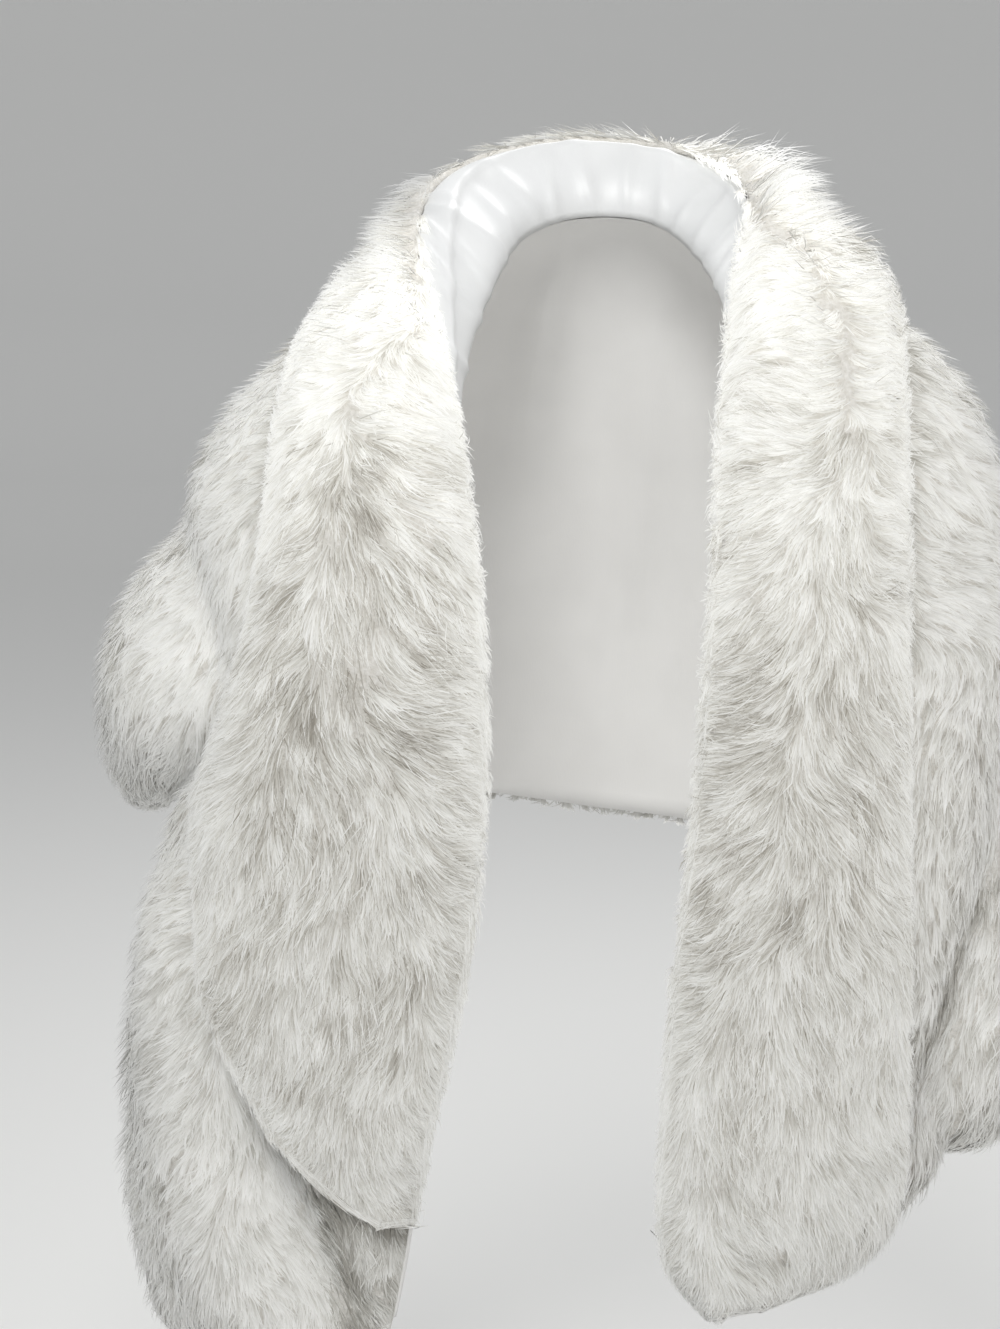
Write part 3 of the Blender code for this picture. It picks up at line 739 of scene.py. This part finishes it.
def look_up(grid, along, across):
    """The grid's channels at places, each read between the grid's four nearest points."""
    alongs, acrosses, values = grid
    a = np.clip((along - alongs[0]) / (alongs[1] - alongs[0]), 0, len(alongs) - 1.001)
    b = np.clip((across - acrosses[0]) / (acrosses[1] - acrosses[0]), 0, len(acrosses) - 1.001)
    i, j = a.astype(int), b.astype(int)
    s, t = (a - i)[:, None], (b - j)[:, None]
    near = values[i, j] * (1 - t) + values[i, j + 1] * t
    far = values[i + 1, j] * (1 - t) + values[i + 1, j + 1] * t
    parts = np.split(near * (1 - s) + far * s, np.cumsum(list(CHANNELS.values()))[:-1], axis=1)
    return {name: part if part.shape[1] > 1 else part[:, 0] for name, part in zip(CHANNELS, parts)}


def spread_roots(coat, grid, draw):
    """Places for the locks' roots, spread evenly over the coat's area where it isn't covered."""
    alongs = np.linspace(coat.first, coat.last, 241)
    shares = np.linspace(0.0, 1.0, 121)
    along, share = (net.ravel() for net in np.meshgrid(alongs, shares, indexing="ij"))
    start = coat.kind.low(along)
    across = mix(start, 1.0, share)
    found = look_up(grid, along, across)
    need = found["need"] * (1.0 - start) * coat.kind.cover(along, across) / (0.75 + 0.5 * found["loose"])
    totals = np.cumsum(need.reshape(len(alongs), -1) + 1e-6, axis=1)
    whole = np.cumsum(totals[:, -1])

    order = np.arange(coat.locks)
    ordered = (0.5 + order[:, None] * np.array([0.7548776662, 0.5698402910])) % 1.0
    ordered = np.clip(ordered + draw.normal(0, 0.22, ordered.shape) / math.sqrt(coat.locks), 0.0, 1.0)
    along = np.interp(ordered[:, 0], whole / whole[-1], alongs)
    row = np.rint((along - coat.first) / (alongs[1] - alongs[0])).astype(int)
    share = np.empty(coat.locks)
    for index in range(len(alongs)):
        here = row == index
        share[here] = np.interp(ordered[here, 1], totals[index] / totals[index, -1], shares)
    return along, mix(coat.kind.low(along), 1.0, share)


def slack(past, most):
    """How far hair goes on past an edge where it would go this far, and at most that far, in mm."""
    return np.sign(past) * most * (1 - np.exp(-np.abs(past) / most))


def tufts(points, loose):
    """For each lock the lock at the middle of its tuft, how strongly the tuft holds it, and how near it is to
    the tuft's rim. Any run of the roots is spread evenly, so the first of them are the middles."""
    count = len(points) // TUFT_LOCKS
    tree = KDTree(count)
    for index in range(count):
        tree.insert(points[index], index)
    tree.balance()
    found = [tree.find(point) for point in points]
    middle = np.array([index for _, index, _ in found])
    apart = np.array([distance for _, _, distance in found])
    hold = smooth((loose - 0.35) / 0.65)
    return middle, hold, np.clip(apart / (apart.mean() * 1.5), 0.0, 1.3) ** 2 * hold


def lock_paths(grid, start, inward, curl, length):
    """Each lock's path over the surface, with the ways it flows and its ways aside at each step."""
    path, flows, sides = [start], [], []
    for step in range(PATH_STEPS + 1):
        here = look_up(grid, path[step][:, 0], path[step][:, 1])
        flows.append(here["flow"])
        sides.append(here["aside"])
        bend = (curl * (2 * step / PATH_STEPS - 0.4))[:, None]
        drawn = ((step + 1) / PATH_STEPS) ** TUFT_DRAW_POWER - (step / PATH_STEPS) ** TUFT_DRAW_POWER
        move = (here["flow"] + here["aside"] * bend) * (length / PATH_STEPS)[:, None]
        path.append(path[step] + move + inward * drawn)
    return np.array(path), np.array(flows), np.array(sides)


def grow(coat, grid):
    """The blades of a coat, in locks that follow the combed ways, as one mesh of narrow tapering ribbons."""
    kind = coat.kind
    draw = np.random.default_rng(coat.seed)
    along, across = spread_roots(coat, grid, draw)
    locks = len(along)
    root = look_up(grid, along, across)
    loose = root["loose"]
    length = mix(*LOCK_LENGTH, loose) * draw.uniform(0.78, 1.22, locks)
    radius = mix(*LOCK_RADIUS, loose) * draw.uniform(0.8, 1.2, locks)
    gather = mix(0.04, 0.84, smooth((loose - 0.15) / 0.75))
    level = mix(0.94, 0.86, loose) + draw.uniform(-1, 1, locks) * mix(0.04, 0.15, loose)
    curl = draw.normal(0, 1, locks) * mix(0.10, 0.30, loose)
    # A lock's tone: its own spread and a drift over the coat, less painted shade under the collar's outer edge
    # and in the grooves and spots, and paler near a free edge.
    tone = TONE_MIDDLE + TONE_SPREAD * draw.normal(0, 1, locks) + TONE_DRIFT * ripple(root["point"], 60, 9)
    tone = tone - TONE_SHADE * kind.shade(along, across) - root["dark"] + TONE_BRINK * root["brink"]

    # Tousled locks stand in tufts, darker at the tufts' rims as painted shade.
    middle, hold, rim_place = tufts(root["point"], loose)
    curl = mix(curl, curl[middle], TUFT_SHARE * hold)
    level = mix(level, level[middle], TUFT_SHARE * hold) - TUFT_RIM_DROP * rim_place
    tone = mix(tone, tone[middle], TUFT_TONE_SHARE * hold) - TUFT_RIM_PAINTED_SHADE * rim_place
    start = np.stack([along, across], axis=1)
    inward = (start[middle] - start) * (TUFT_DRAW * hold)[:, None]
    path, flows, sides = lock_paths(grid, start, inward, curl, length)

    # The blades of each lock, spread about its path and drawn together at its tip.
    lock = np.arange(locks)[:, None]
    low_end = coat.first if coat.free.first else coat.first - 9
    high_end = coat.last if coat.free.last else coat.last + 9
    brink = root["brink"][:, None]
    blades = []
    for strand in STRANDS:
        many = (locks, strand.many)
        spread = np.sqrt(draw.random(many)) * radius[:, None]
        round_way = draw.uniform(0, math.tau, many)
        off_side, off_along = spread * np.cos(round_way), spread * np.sin(round_way)
        rim = (spread / radius[:, None]) ** 2 * mix(0.15, 1.0, smooth(loose * 1.2))[:, None]
        off_height = draw.uniform(-0.09, 0.05, many) - LOCK_RIM_DROP * rim
        share = draw.uniform(strand.short, 1.0, many)
        roll = draw.uniform(-0.9, 0.9, many).reshape(-1, 1)
        stray = draw.random(many) < STRAY_SHARE + BRINK_STRAYS * brink
        stray = stray * (1.0 + 1.5 * brink * draw.uniform(0.1, 1.0, many))
        astray = draw.normal(0, 1, many) * (0.07 + 0.12 * stray)
        thick = strand.thick * coat.blade * draw.uniform(0.75, 1.25, many) * (1 - 0.2 * stray)
        # Each blade's tone has its own spread, with painted shade where it lies low in the lock and at the
        # lock's rim.
        blade_tone = tone[:, None] + draw.normal(0, BLADE_SPREAD, many)
        blade_tone = blade_tone + BLADE_DEPTH_PAINTED_SHADE * off_height - LOCK_RIM_PAINTED_SHADE * rim
        blade_tone = np.clip(blade_tone, 0.0, 0.999).ravel()
        most = (EDGE_SLACK * draw.uniform(0.1, 1.5, locks)[:, None] * draw.uniform(0.6, 1.2, many)).ravel()
        points, normals = [], []
        for t, tall in zip(strand.bends, strand.heights):
            place = share * t * PATH_STEPS
            step = np.minimum(place.astype(int), PATH_STEPS - 1)
            part = (place - step)[..., None]
            centre = path[step, lock] * (1 - part) + path[step + 1, lock] * part
            apart = (1.0 - gather[:, None] * t**2.2)[..., None]
            at = centre + sides[step, lock] * off_side[..., None] * apart
            at = at + sides[step, lock] * (astray * t * length[:, None])[..., None]
            at = (at + flows[step, lock] * off_along[..., None] * (1.0 - 0.7 * t)).reshape(-1, 2)

            # Where a blade would leave the coat it goes on past the edge a little, and droops.
            run = np.clip(at[:, 0], low_end, high_end)
            reach = np.clip(at[:, 1], kind.low(at[:, 0]), 1.0)
            near = look_up(grid, run, reach)
            past_side = slack((at[:, 1] - reach) * near["span"], most)
            if kind.stops_at_neck:
                past_side = np.maximum(past_side, 0.0)
            past_end = slack((at[:, 0] - run) * near["pace"], most)
            droop = np.exp(-np.hypot(past_side, past_end) / EDGE_DROOP)
            lift = tall * level[:, None] + off_height * (1.0 - 0.5 * t) + stray * STRAY_LIFT * t * t
            height = near["height"] * np.maximum(lift.ravel(), 0.1) * droop
            past = near["outward"] * past_side[:, None] + near["onward"] * past_end[:, None]
            points.append(near["point"] + near["normal"] * height[:, None] + past)
            normals.append(near["normal"])
        thick = thick.reshape(-1, 1)
        blades.append(ribbons(strand, np.array(points), np.array(normals), roll, thick, blade_tone))
    pile = joined("pile_" + coat.name, blades, kind.look)
    # Light comes through real hairs, so the blades throw no shadow of their own: the pelts under them do.
    pile.visible_shadow = False
    return pile


def ribbons(strand, points, normals, roll, thick, tone):
    """Ribbons pointed at both ends: their corners, their triangles, each corner's place in the map, which is
    how far along the blade it is and the blade's tone, and its facing."""
    bends = len(strand.bends)
    corners = [points[0]]
    facings = [normals[0]]
    for step in range(1, bends - 1):
        ahead = unit(points[step + 1] - points[step - 1])
        side = unit(np.cross(ahead, normals[step]))
        side = side * np.cos(roll) + np.cross(side, ahead) * np.sin(roll)
        half = side * thick * (strand.widths[step] / 2)
        corners += [points[step] - half, points[step] + half]
        facings += [unit(normals[step] + np.cross(side, ahead) * OWN_SHADE)] * 2
    corners = np.stack(corners + [points[-1]], axis=1)
    facings = np.stack(facings + [normals[-1]], axis=1)
    pattern = [(0, 2, 1)]
    for step in range(bends - 3):
        low = 2 * step + 1
        pattern += [(low, low + 1, low + 3), (low, low + 3, low + 2)]
    last = 2 * bends - 3
    pattern += [(last - 2, last - 1, last)]
    count = len(corners)
    faces = (np.arange(count)[:, None, None] * (last + 1) + np.array(pattern)[None]).reshape(-1, 3)
    lengths = np.array([0.0] + [bend for bend in strand.bends[1:-1] for _ in range(2)] + [1.0])
    strip = np.array([0.5] + [0.0, 1.0] * (bends - 2) + [0.5])
    across = (np.floor(tone * TONES)[:, None] + strip[None]) / TONES
    places = np.stack([np.broadcast_to(lengths, across.shape), across], axis=-1)
    return corners.reshape(-1, 3), faces, places.reshape(-1, 2), facings.reshape(-1, 3)


def joined(name, blades, look):
    """One mesh of all these ribbons."""
    starts = np.cumsum([0] + [len(part[0]) for part in blades[:-1]])
    corners, faces, places, facings = zip(*blades)
    corners, places, facings = (np.concatenate(parts) for parts in (corners, places, facings))
    faces = np.concatenate([part + start for part, start in zip(faces, starts)]).reshape(-1)
    mesh = bpy.data.meshes.new(name)
    mesh.vertices.add(len(corners))
    mesh.vertices.foreach_set("co", (corners * MM).astype(np.float32).ravel())
    mesh.loops.add(len(faces))
    mesh.loops.foreach_set("vertex_index", faces.astype(np.int32))
    mesh.polygons.add(len(faces) // 3)
    mesh.polygons.foreach_set("loop_start", np.arange(0, len(faces), 3, dtype=np.int32))
    mesh.update(calc_edges=True)
    chart = mesh.uv_layers.new(name="OFBake")
    chart.uv.foreach_set("vector", places[faces].astype(np.float32).ravel())
    mesh.shade_smooth()
    mesh.normals_split_custom_set_from_vertices(facings)
    mesh.materials.append(look)
    piece = bpy.data.objects.new(name, mesh)
    bpy.context.scene.collection.objects.link(piece)
    return piece


def linear(code):
    """The linear colour of an sRGB hex code."""
    values = [int(code[place : place + 2], 16) / 255 for place in (0, 2, 4)]
    values = [value / 12.92 if value <= 0.04045 else ((value + 0.055) / 1.055) ** 2.4 for value in values]
    return (*values, 1.0)


def new_look(name, roughness, sheen, gloss):
    look = bpy.data.materials.new(name)
    look.use_nodes = True
    shader = look.node_tree.nodes["Principled BSDF"]
    shader.inputs["Roughness"].default_value = roughness
    shader.inputs["Sheen Weight"].default_value = sheen
    shader.inputs["Specular IOR Level"].default_value = gloss
    return look, shader


def add(look, kind, inputs, **settings):
    """A node of this kind with its settings. Each input is given a value, or the socket that feeds it."""
    node = look.node_tree.nodes.new("ShaderNode" + kind)
    for name, value in settings.items():
        setattr(node, name, value)
    for socket, value in inputs.items():
        if isinstance(value, bpy.types.NodeSocket):
            look.node_tree.links.new(value, node.inputs[socket])
        else:
            node.inputs[socket].default_value = value
    return node


def ramp(look, feed, stops):
    """A colour ramp with these stops, (place, hex code)."""
    node = add(look, "ValToRGB", {"Fac": feed})
    elements = node.color_ramp.elements
    while len(elements) < len(stops):
        elements.new(0.5)
    for element, (place, code) in zip(elements, stops):
        element.position = place
        element.color = linear(code)
    return node.outputs["Color"]


def pile_look(name, lengthwise, tones):
    """Fur blades: greyer at their roots as painted shade, ivory along them and paler at the tip as a painted
    highlight, and a tone for each blade, partly its own and partly painted shade."""
    look, shader = new_look(name, 0.55, 0.25, 0.3)
    chart = add(look, "TexCoord", {})
    parts = add(look, "SeparateXYZ", {"Vector": chart.outputs["UV"]})
    along = ramp(look, parts.outputs["X"], lengthwise)
    tone = ramp(look, parts.outputs["Y"], tones)
    both = add(look, "Mix", {0: 1.0, 6: along, 7: tone}, data_type="RGBA", blend_type="MULTIPLY")
    look.node_tree.links.new(both.outputs[2], shader.inputs["Base Color"])
    return look


def pelt_look(name, low, high):
    """The dense underfur between the locks, greyer than the pile as painted shade: soft warm grey flecks 3 mm
    across, and a bump as fine.
    """
    look, shader = new_look(name, 0.9, 0.2, 0.1)
    place = add(look, "TexCoord", {})
    flecks = add(look, "TexNoise", {"Vector": place.outputs["Object"], "Scale": 330.0, "Detail": 3.0})
    colour = ramp(look, flecks.outputs["Fac"], [(0.3, low), (0.7, high)])
    bump = add(look, "Bump", {"Height": flecks.outputs["Fac"], "Strength": 0.6, "Distance": 0.002})
    look.node_tree.links.new(colour, shader.inputs["Base Color"])
    look.node_tree.links.new(bump.outputs["Normal"], shader.inputs["Normal"])
    return look


def satin_look(name, shade, light):
    """Smooth satin: a soft gloss, faint clouding 40 mm across, and its floats as a fine bump, drawn coarser
    than the real 0.2 mm."""
    look, shader = new_look(name, 0.40, 0.35, 0.45)
    shader.inputs["Anisotropic"].default_value = 0.5
    place = add(look, "TexCoord", {})
    clouds = add(look, "TexNoise", {"Vector": place.outputs["Object"], "Scale": 14.0, "Detail": 2.0})
    colour = ramp(look, clouds.outputs["Fac"], [(0.35, shade), (0.65, light)])
    stretched = add(look, "Mapping", {"Vector": place.outputs["Object"], "Scale": (1.0, 1.0, 0.12)})
    floats = add(look, "TexNoise", {"Vector": stretched.outputs["Vector"], "Scale": 1400.0, "Detail": 1.0})
    bump = add(look, "Bump", {"Height": floats.outputs["Fac"], "Strength": 0.08, "Distance": 0.001})
    look.node_tree.links.new(colour, shader.inputs["Base Color"])
    look.node_tree.links.new(bump.outputs["Normal"], shader.inputs["Normal"])
    return look


def plain_look(name, code):
    look, shader = new_look(name, 0.9, 0.0, 0.2)
    shader.inputs["Base Color"].default_value = linear(code)
    return look


# Both looks' lengthwise ramps are painted shade at the roots and a painted highlight at the tips; their tone
# ramps' darker stops are reached through the painted shade taken off the tone in grow().
BODY_FUR = pile_look(
    "ivory_pile",
    [(0.0, "D3D1CC"), (0.4, "EAE9E6"), (0.75, "F7F7F5"), (1.0, "FDFDFC")],
    [(0.0, "AFACA5"), (0.3, "DBDAD6"), (0.6, "F6F6F5"), (1.0, "FFFFFF")],
)
COLLAR_FUR = pile_look(
    "ivory_collar_pile",
    [(0.0, "CFCCC6"), (0.4, "E8E7E3"), (0.75, "F8F8F6"), (1.0, "FEFEFD")],
    [(0.0, "A8A39B"), (0.3, "D8D6D1"), (0.6, "F6F6F5"), (1.0, "FFFFFF")],
)
# The underfur's grey is painted shade in the gaps between the locks.
UNDERFUR_PAINTED_SHADE = pelt_look("ivory_underfur_painted_shade", "CDCAC3", "E2E0DC")
# The facing and the lining are one white satin in a greyer and a paler copy: the facing's grey is painted
# shade that keeps the strong light at the neck from washing it out, and the lining's paleness is painted light
# for the dim inside.
FACING_SATIN_PAINTED_SHADE = satin_look("white_satin", "DEDFDF", "E6E7E7")
LINING_SATIN_PAINTED_LIGHT = satin_look("white_lining_satin_painted_light", "F0EFED", "F5F4F2")


# How far the visible pelts stop short of a free edge, and half the gap at a seam, as a share of a section.
PELT_INSET = 1.0
SEAM_SHARE = 0.0025


def body_low(along):
    return NECK_CLEAR / section_length(along)


def collar_low(along):
    return collar_value("satin", along) / collar_value("width", along)


def collar_width(along):
    return collar_value("width", along)


def uncovered(along, across):
    """0 for the body's fur that lies under the collar, 1 for the rest."""
    past = across * section_length(along) - collar_value("width", along)
    inside = (along > COLLAR_RIGHT_FOOT + 0.3) & (along < COLLAR_LEFT_FOOT - 0.3)
    return np.where(inside, smooth((past + COVER_MARGIN) / COVER_WIDTH), 1.0)


def everywhere(along, _across):
    return np.ones(len(along))


def shaded(along, across):
    """How much the body's fur is in the shade of the collar's outer edge."""
    past = across * section_length(along) - collar_value("width", along)
    inside = (along > COLLAR_RIGHT_FOOT - 0.2) & (along < COLLAR_LEFT_FOOT + 0.2)
    return np.where(inside, np.exp(-np.maximum(past, 0.0) / SHADE_REACH), 0.0)


def unshaded(along, _across):
    return np.zeros(len(along))


# What the body's fur and the collar's differ in: the surface and the height of the pile on it, its combs,
# where it starts and how wide it lies, where it isn't covered and where it is in shade, whether it stops
# short at the neck, its look and its slot.
Kind = namedtuple("Kind", "base pile combs low width cover shade stops_at_neck look slot")

BODY = Kind(
    fur_base, body_pile, BODY_COMBS, body_low, section_length, uncovered, shaded, True, BODY_FUR, "ivory_fur"
)
ROUND = Kind(
    collar_base, collar_pile, COLLAR_COMBS, collar_low, collar_width, everywhere, unshaded, False, COLLAR_FUR,
    "ivory_collar_fur",
)

# Which edges of a coat are free, 1 or 0: the one its width starts from, its first end and its last.
Free = namedtuple("Free", "low first last")
Coat = namedtuple("Coat", "name kind locks first last blade free seed node lies_on")

COATS = [
    Coat("front_right", BODY, 3700, RIGHT_FOOT, RIGHT_SHOULDER, 1.05, Free(1, 1, 0), 11,
         "fur_front_right", "lining_front_right"),
    Coat("back", BODY, 1900, RIGHT_SHOULDER, LEFT_SHOULDER, 1.6, Free(0, 0, 0), 12,
         "fur_back", "lining_back"),
    Coat("front_left", BODY, 3150, LEFT_SHOULDER, LEFT_FOOT, 1.1, Free(1, 0, 1), 13,
         "fur_front_left", "lining_front_left"),
    Coat("collar_right", ROUND, 3900, COLLAR_RIGHT_FOOT, COLLAR_RIGHT_SEAM, 1.0, Free(1, 1, 0), 14,
         "collar_right", "fur_front_right"),
    Coat("collar_back", ROUND, 950, COLLAR_RIGHT_SEAM, COLLAR_LEFT_SEAM, 1.4, Free(1, 0, 0), 15,
         "collar_back", "fur_back"),
    Coat("collar_left", ROUND, 3900, COLLAR_LEFT_SEAM, COLLAR_LEFT_FOOT, 1.0, Free(1, 0, 1), 16,
         "collar_left", "fur_front_left"),
]


def pelt(coat, grid):
    """The dense underfur of a coat, on its leather: the solid's form with the long pile taken off."""
    first = coat.first + (PELT_END if coat.free.first else SEAM_SHARE)
    last = coat.last - (PELT_END if coat.free.last else SEAM_SHARE)

    def side(share):
        def place(row, column):
            along = mix(first, last, row)
            low = coat.kind.low(along) + coat.free.low * PELT_INSET / coat.kind.width(along)
            found = look_up(grid, along, mix(low, PELT_HEM, column))
            return found["point"] + found["normal"] * (found["height"] * share)[:, None]

        return place

    columns, rows = PELT_FACES
    rows = round((last - first) * rows)
    return wall("pelt_" + coat.name, columns, rows, side(0.0), side(PELT_SHARE), UNDERFUR_PAINTED_SHADE)


def lining(name, first, last, look):
    """A panel of the lining, with its soft ridges towards the wearer."""
    first += 0 if first == RIGHT_FOOT else SEAM_SHARE
    last -= 0 if last == LEFT_FOOT else SEAM_SHARE

    def side(lid):
        def place(row, column):
            along = mix(first, last, row)
            height = lid - crease_height(LINING_CREASES, cloth_point, along, column)
            return above(cloth_point, along, column, height)

        return place

    columns, rows = LINING_FACES
    return wall("satin_" + name, columns, round((last - first) * rows), side(0.0), side(LINING_THICK), look)


def facing(name, look):
    """The satin round the neck, from the neck seam over the collar's fold to where the fur starts."""

    def side(lid):
        def place(row, column):
            along = np.interp(row, FACING_SHARES, FACING_PLACES)
            run = 2.0 * column
            height = crease_height(FACING_CREASES, facing_point, along, run) + lid
            return facing_point(along, run) + facing_normal(along, run) * height[:, None]

        return place

    return wall(name, *FACING_FACES, side(0.0), side(FACING_THICK), look)


# A sheet's flat cut is given as (width, length) in metres, with its area in square metres; no sheet is listed
# here. The body's pelts and its linings have the same.
Sheet = namedtuple("Sheet", "flat area")


def dress():
    for coat in COATS:
        grid = coat_grid(coat)
        skin = pelt(coat, grid)
        blades = grow(coat, grid)
        for piece in (skin, blades):
            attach(piece, "root")
        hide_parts(coat.node)
    ends = {
        "front_right": (RIGHT_FOOT, RIGHT_SHOULDER),
        "back": (RIGHT_SHOULDER, LEFT_SHOULDER),
        "front_left": (LEFT_SHOULDER, LEFT_FOOT),
    }
    satins = [(name, "lining_" + name, lining(name, *places, LINING_SATIN_PAINTED_LIGHT)) for name, places in ends.items()]
    satins += [("facing", "collar_facing", facing("satin_facing", FACING_SATIN_PAINTED_SHADE))]
    for name, node, piece in satins:
        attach(piece, "root")
        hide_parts(node)


# The backdrop, (y, z) along its middle, and half its width.
BACKDROP_SIDE = 12.0
BACKDROP = [
    (-9.0, FLOOR),
    (6.5, FLOOR),
    (7.6, FLOOR + 0.2),
    (8.4, FLOOR + 0.8),
    (8.8, FLOOR + 1.8),
    (8.9, FLOOR + 3.0),
    (8.9, 9.0),
]

# The camera that took the photo, as worked out from it: its focal length and the height of its picture in
# pixels, where it stood, and how far it looked up from straight down.
PHOTO_FOCAL = 2500.0
PHOTO_HEIGHT = 1329.0
SENSOR = 36.0
CAMERA_PLACE = (-0.0853, -1.7657, 0.0525)
CAMERA_TILT = 80.0


def soft_light(name, place, aim, size, power, code):
    lamp = bpy.data.lights.new(name, "AREA")
    lamp.shape = "DISK"
    lamp.size = size
    lamp.energy = power
    lamp.color = linear(code)[:3]
    holder = bpy.data.objects.new(name, lamp)
    holder.location = place
    holder.rotation_euler = (Vector(aim) - Vector(place)).to_track_quat("-Z", "Y").to_euler()
    bpy.context.scene.collection.objects.link(holder)


def studio():
    """A pale floor that sweeps up behind, soft lights and the camera at the photograph's angle."""
    made = bmesh.new()
    rows = [[made.verts.new((x, y, z)) for x in (-BACKDROP_SIDE, BACKDROP_SIDE)] for y, z in BACKDROP]
    for low, high in zip(rows, rows[1:]):
        made.faces.new((low[0], low[1], high[1], high[0]))
    bmesh.ops.recalc_face_normals(made, faces=made.faces)
    finished("backdrop", made, plain_look("pale_backdrop", "F2F2F0"))

    world = bpy.data.worlds.new("studio")
    world.use_nodes = True
    world.node_tree.nodes["Background"].inputs["Color"].default_value = linear("F4F5F7")
    world.node_tree.nodes["Background"].inputs["Strength"].default_value = 0.50
    bpy.context.scene.world = world
    middle = (0.0, 0.0, -0.3)
    soft_light("key", (-0.35, -1.5, 1.5), (0.0, 0.0, -0.2), 0.9, 29.0, "FFFFFE")
    soft_light("fill", (1.9, -1.8, 0.5), middle, 1.8, 6.0, "FFF9F2")
    soft_light("back", (0.6, 1.7, 1.9), middle, 1.2, 30.0, "FFFFFF")

    lens = bpy.data.cameras.new("camera")
    lens.sensor_width = SENSOR
    lens.lens = PHOTO_FOCAL / PHOTO_HEIGHT * SENSOR
    camera = bpy.data.objects.new("camera", lens)
    camera.location = CAMERA_PLACE
    camera.rotation_euler = (math.radians(CAMERA_TILT), 0.0, 0.0)
    bpy.context.scene.collection.objects.link(camera)
    bpy.context.scene.camera = camera
    bpy.context.scene.view_settings.view_transform = "Standard"


dress()
studio()
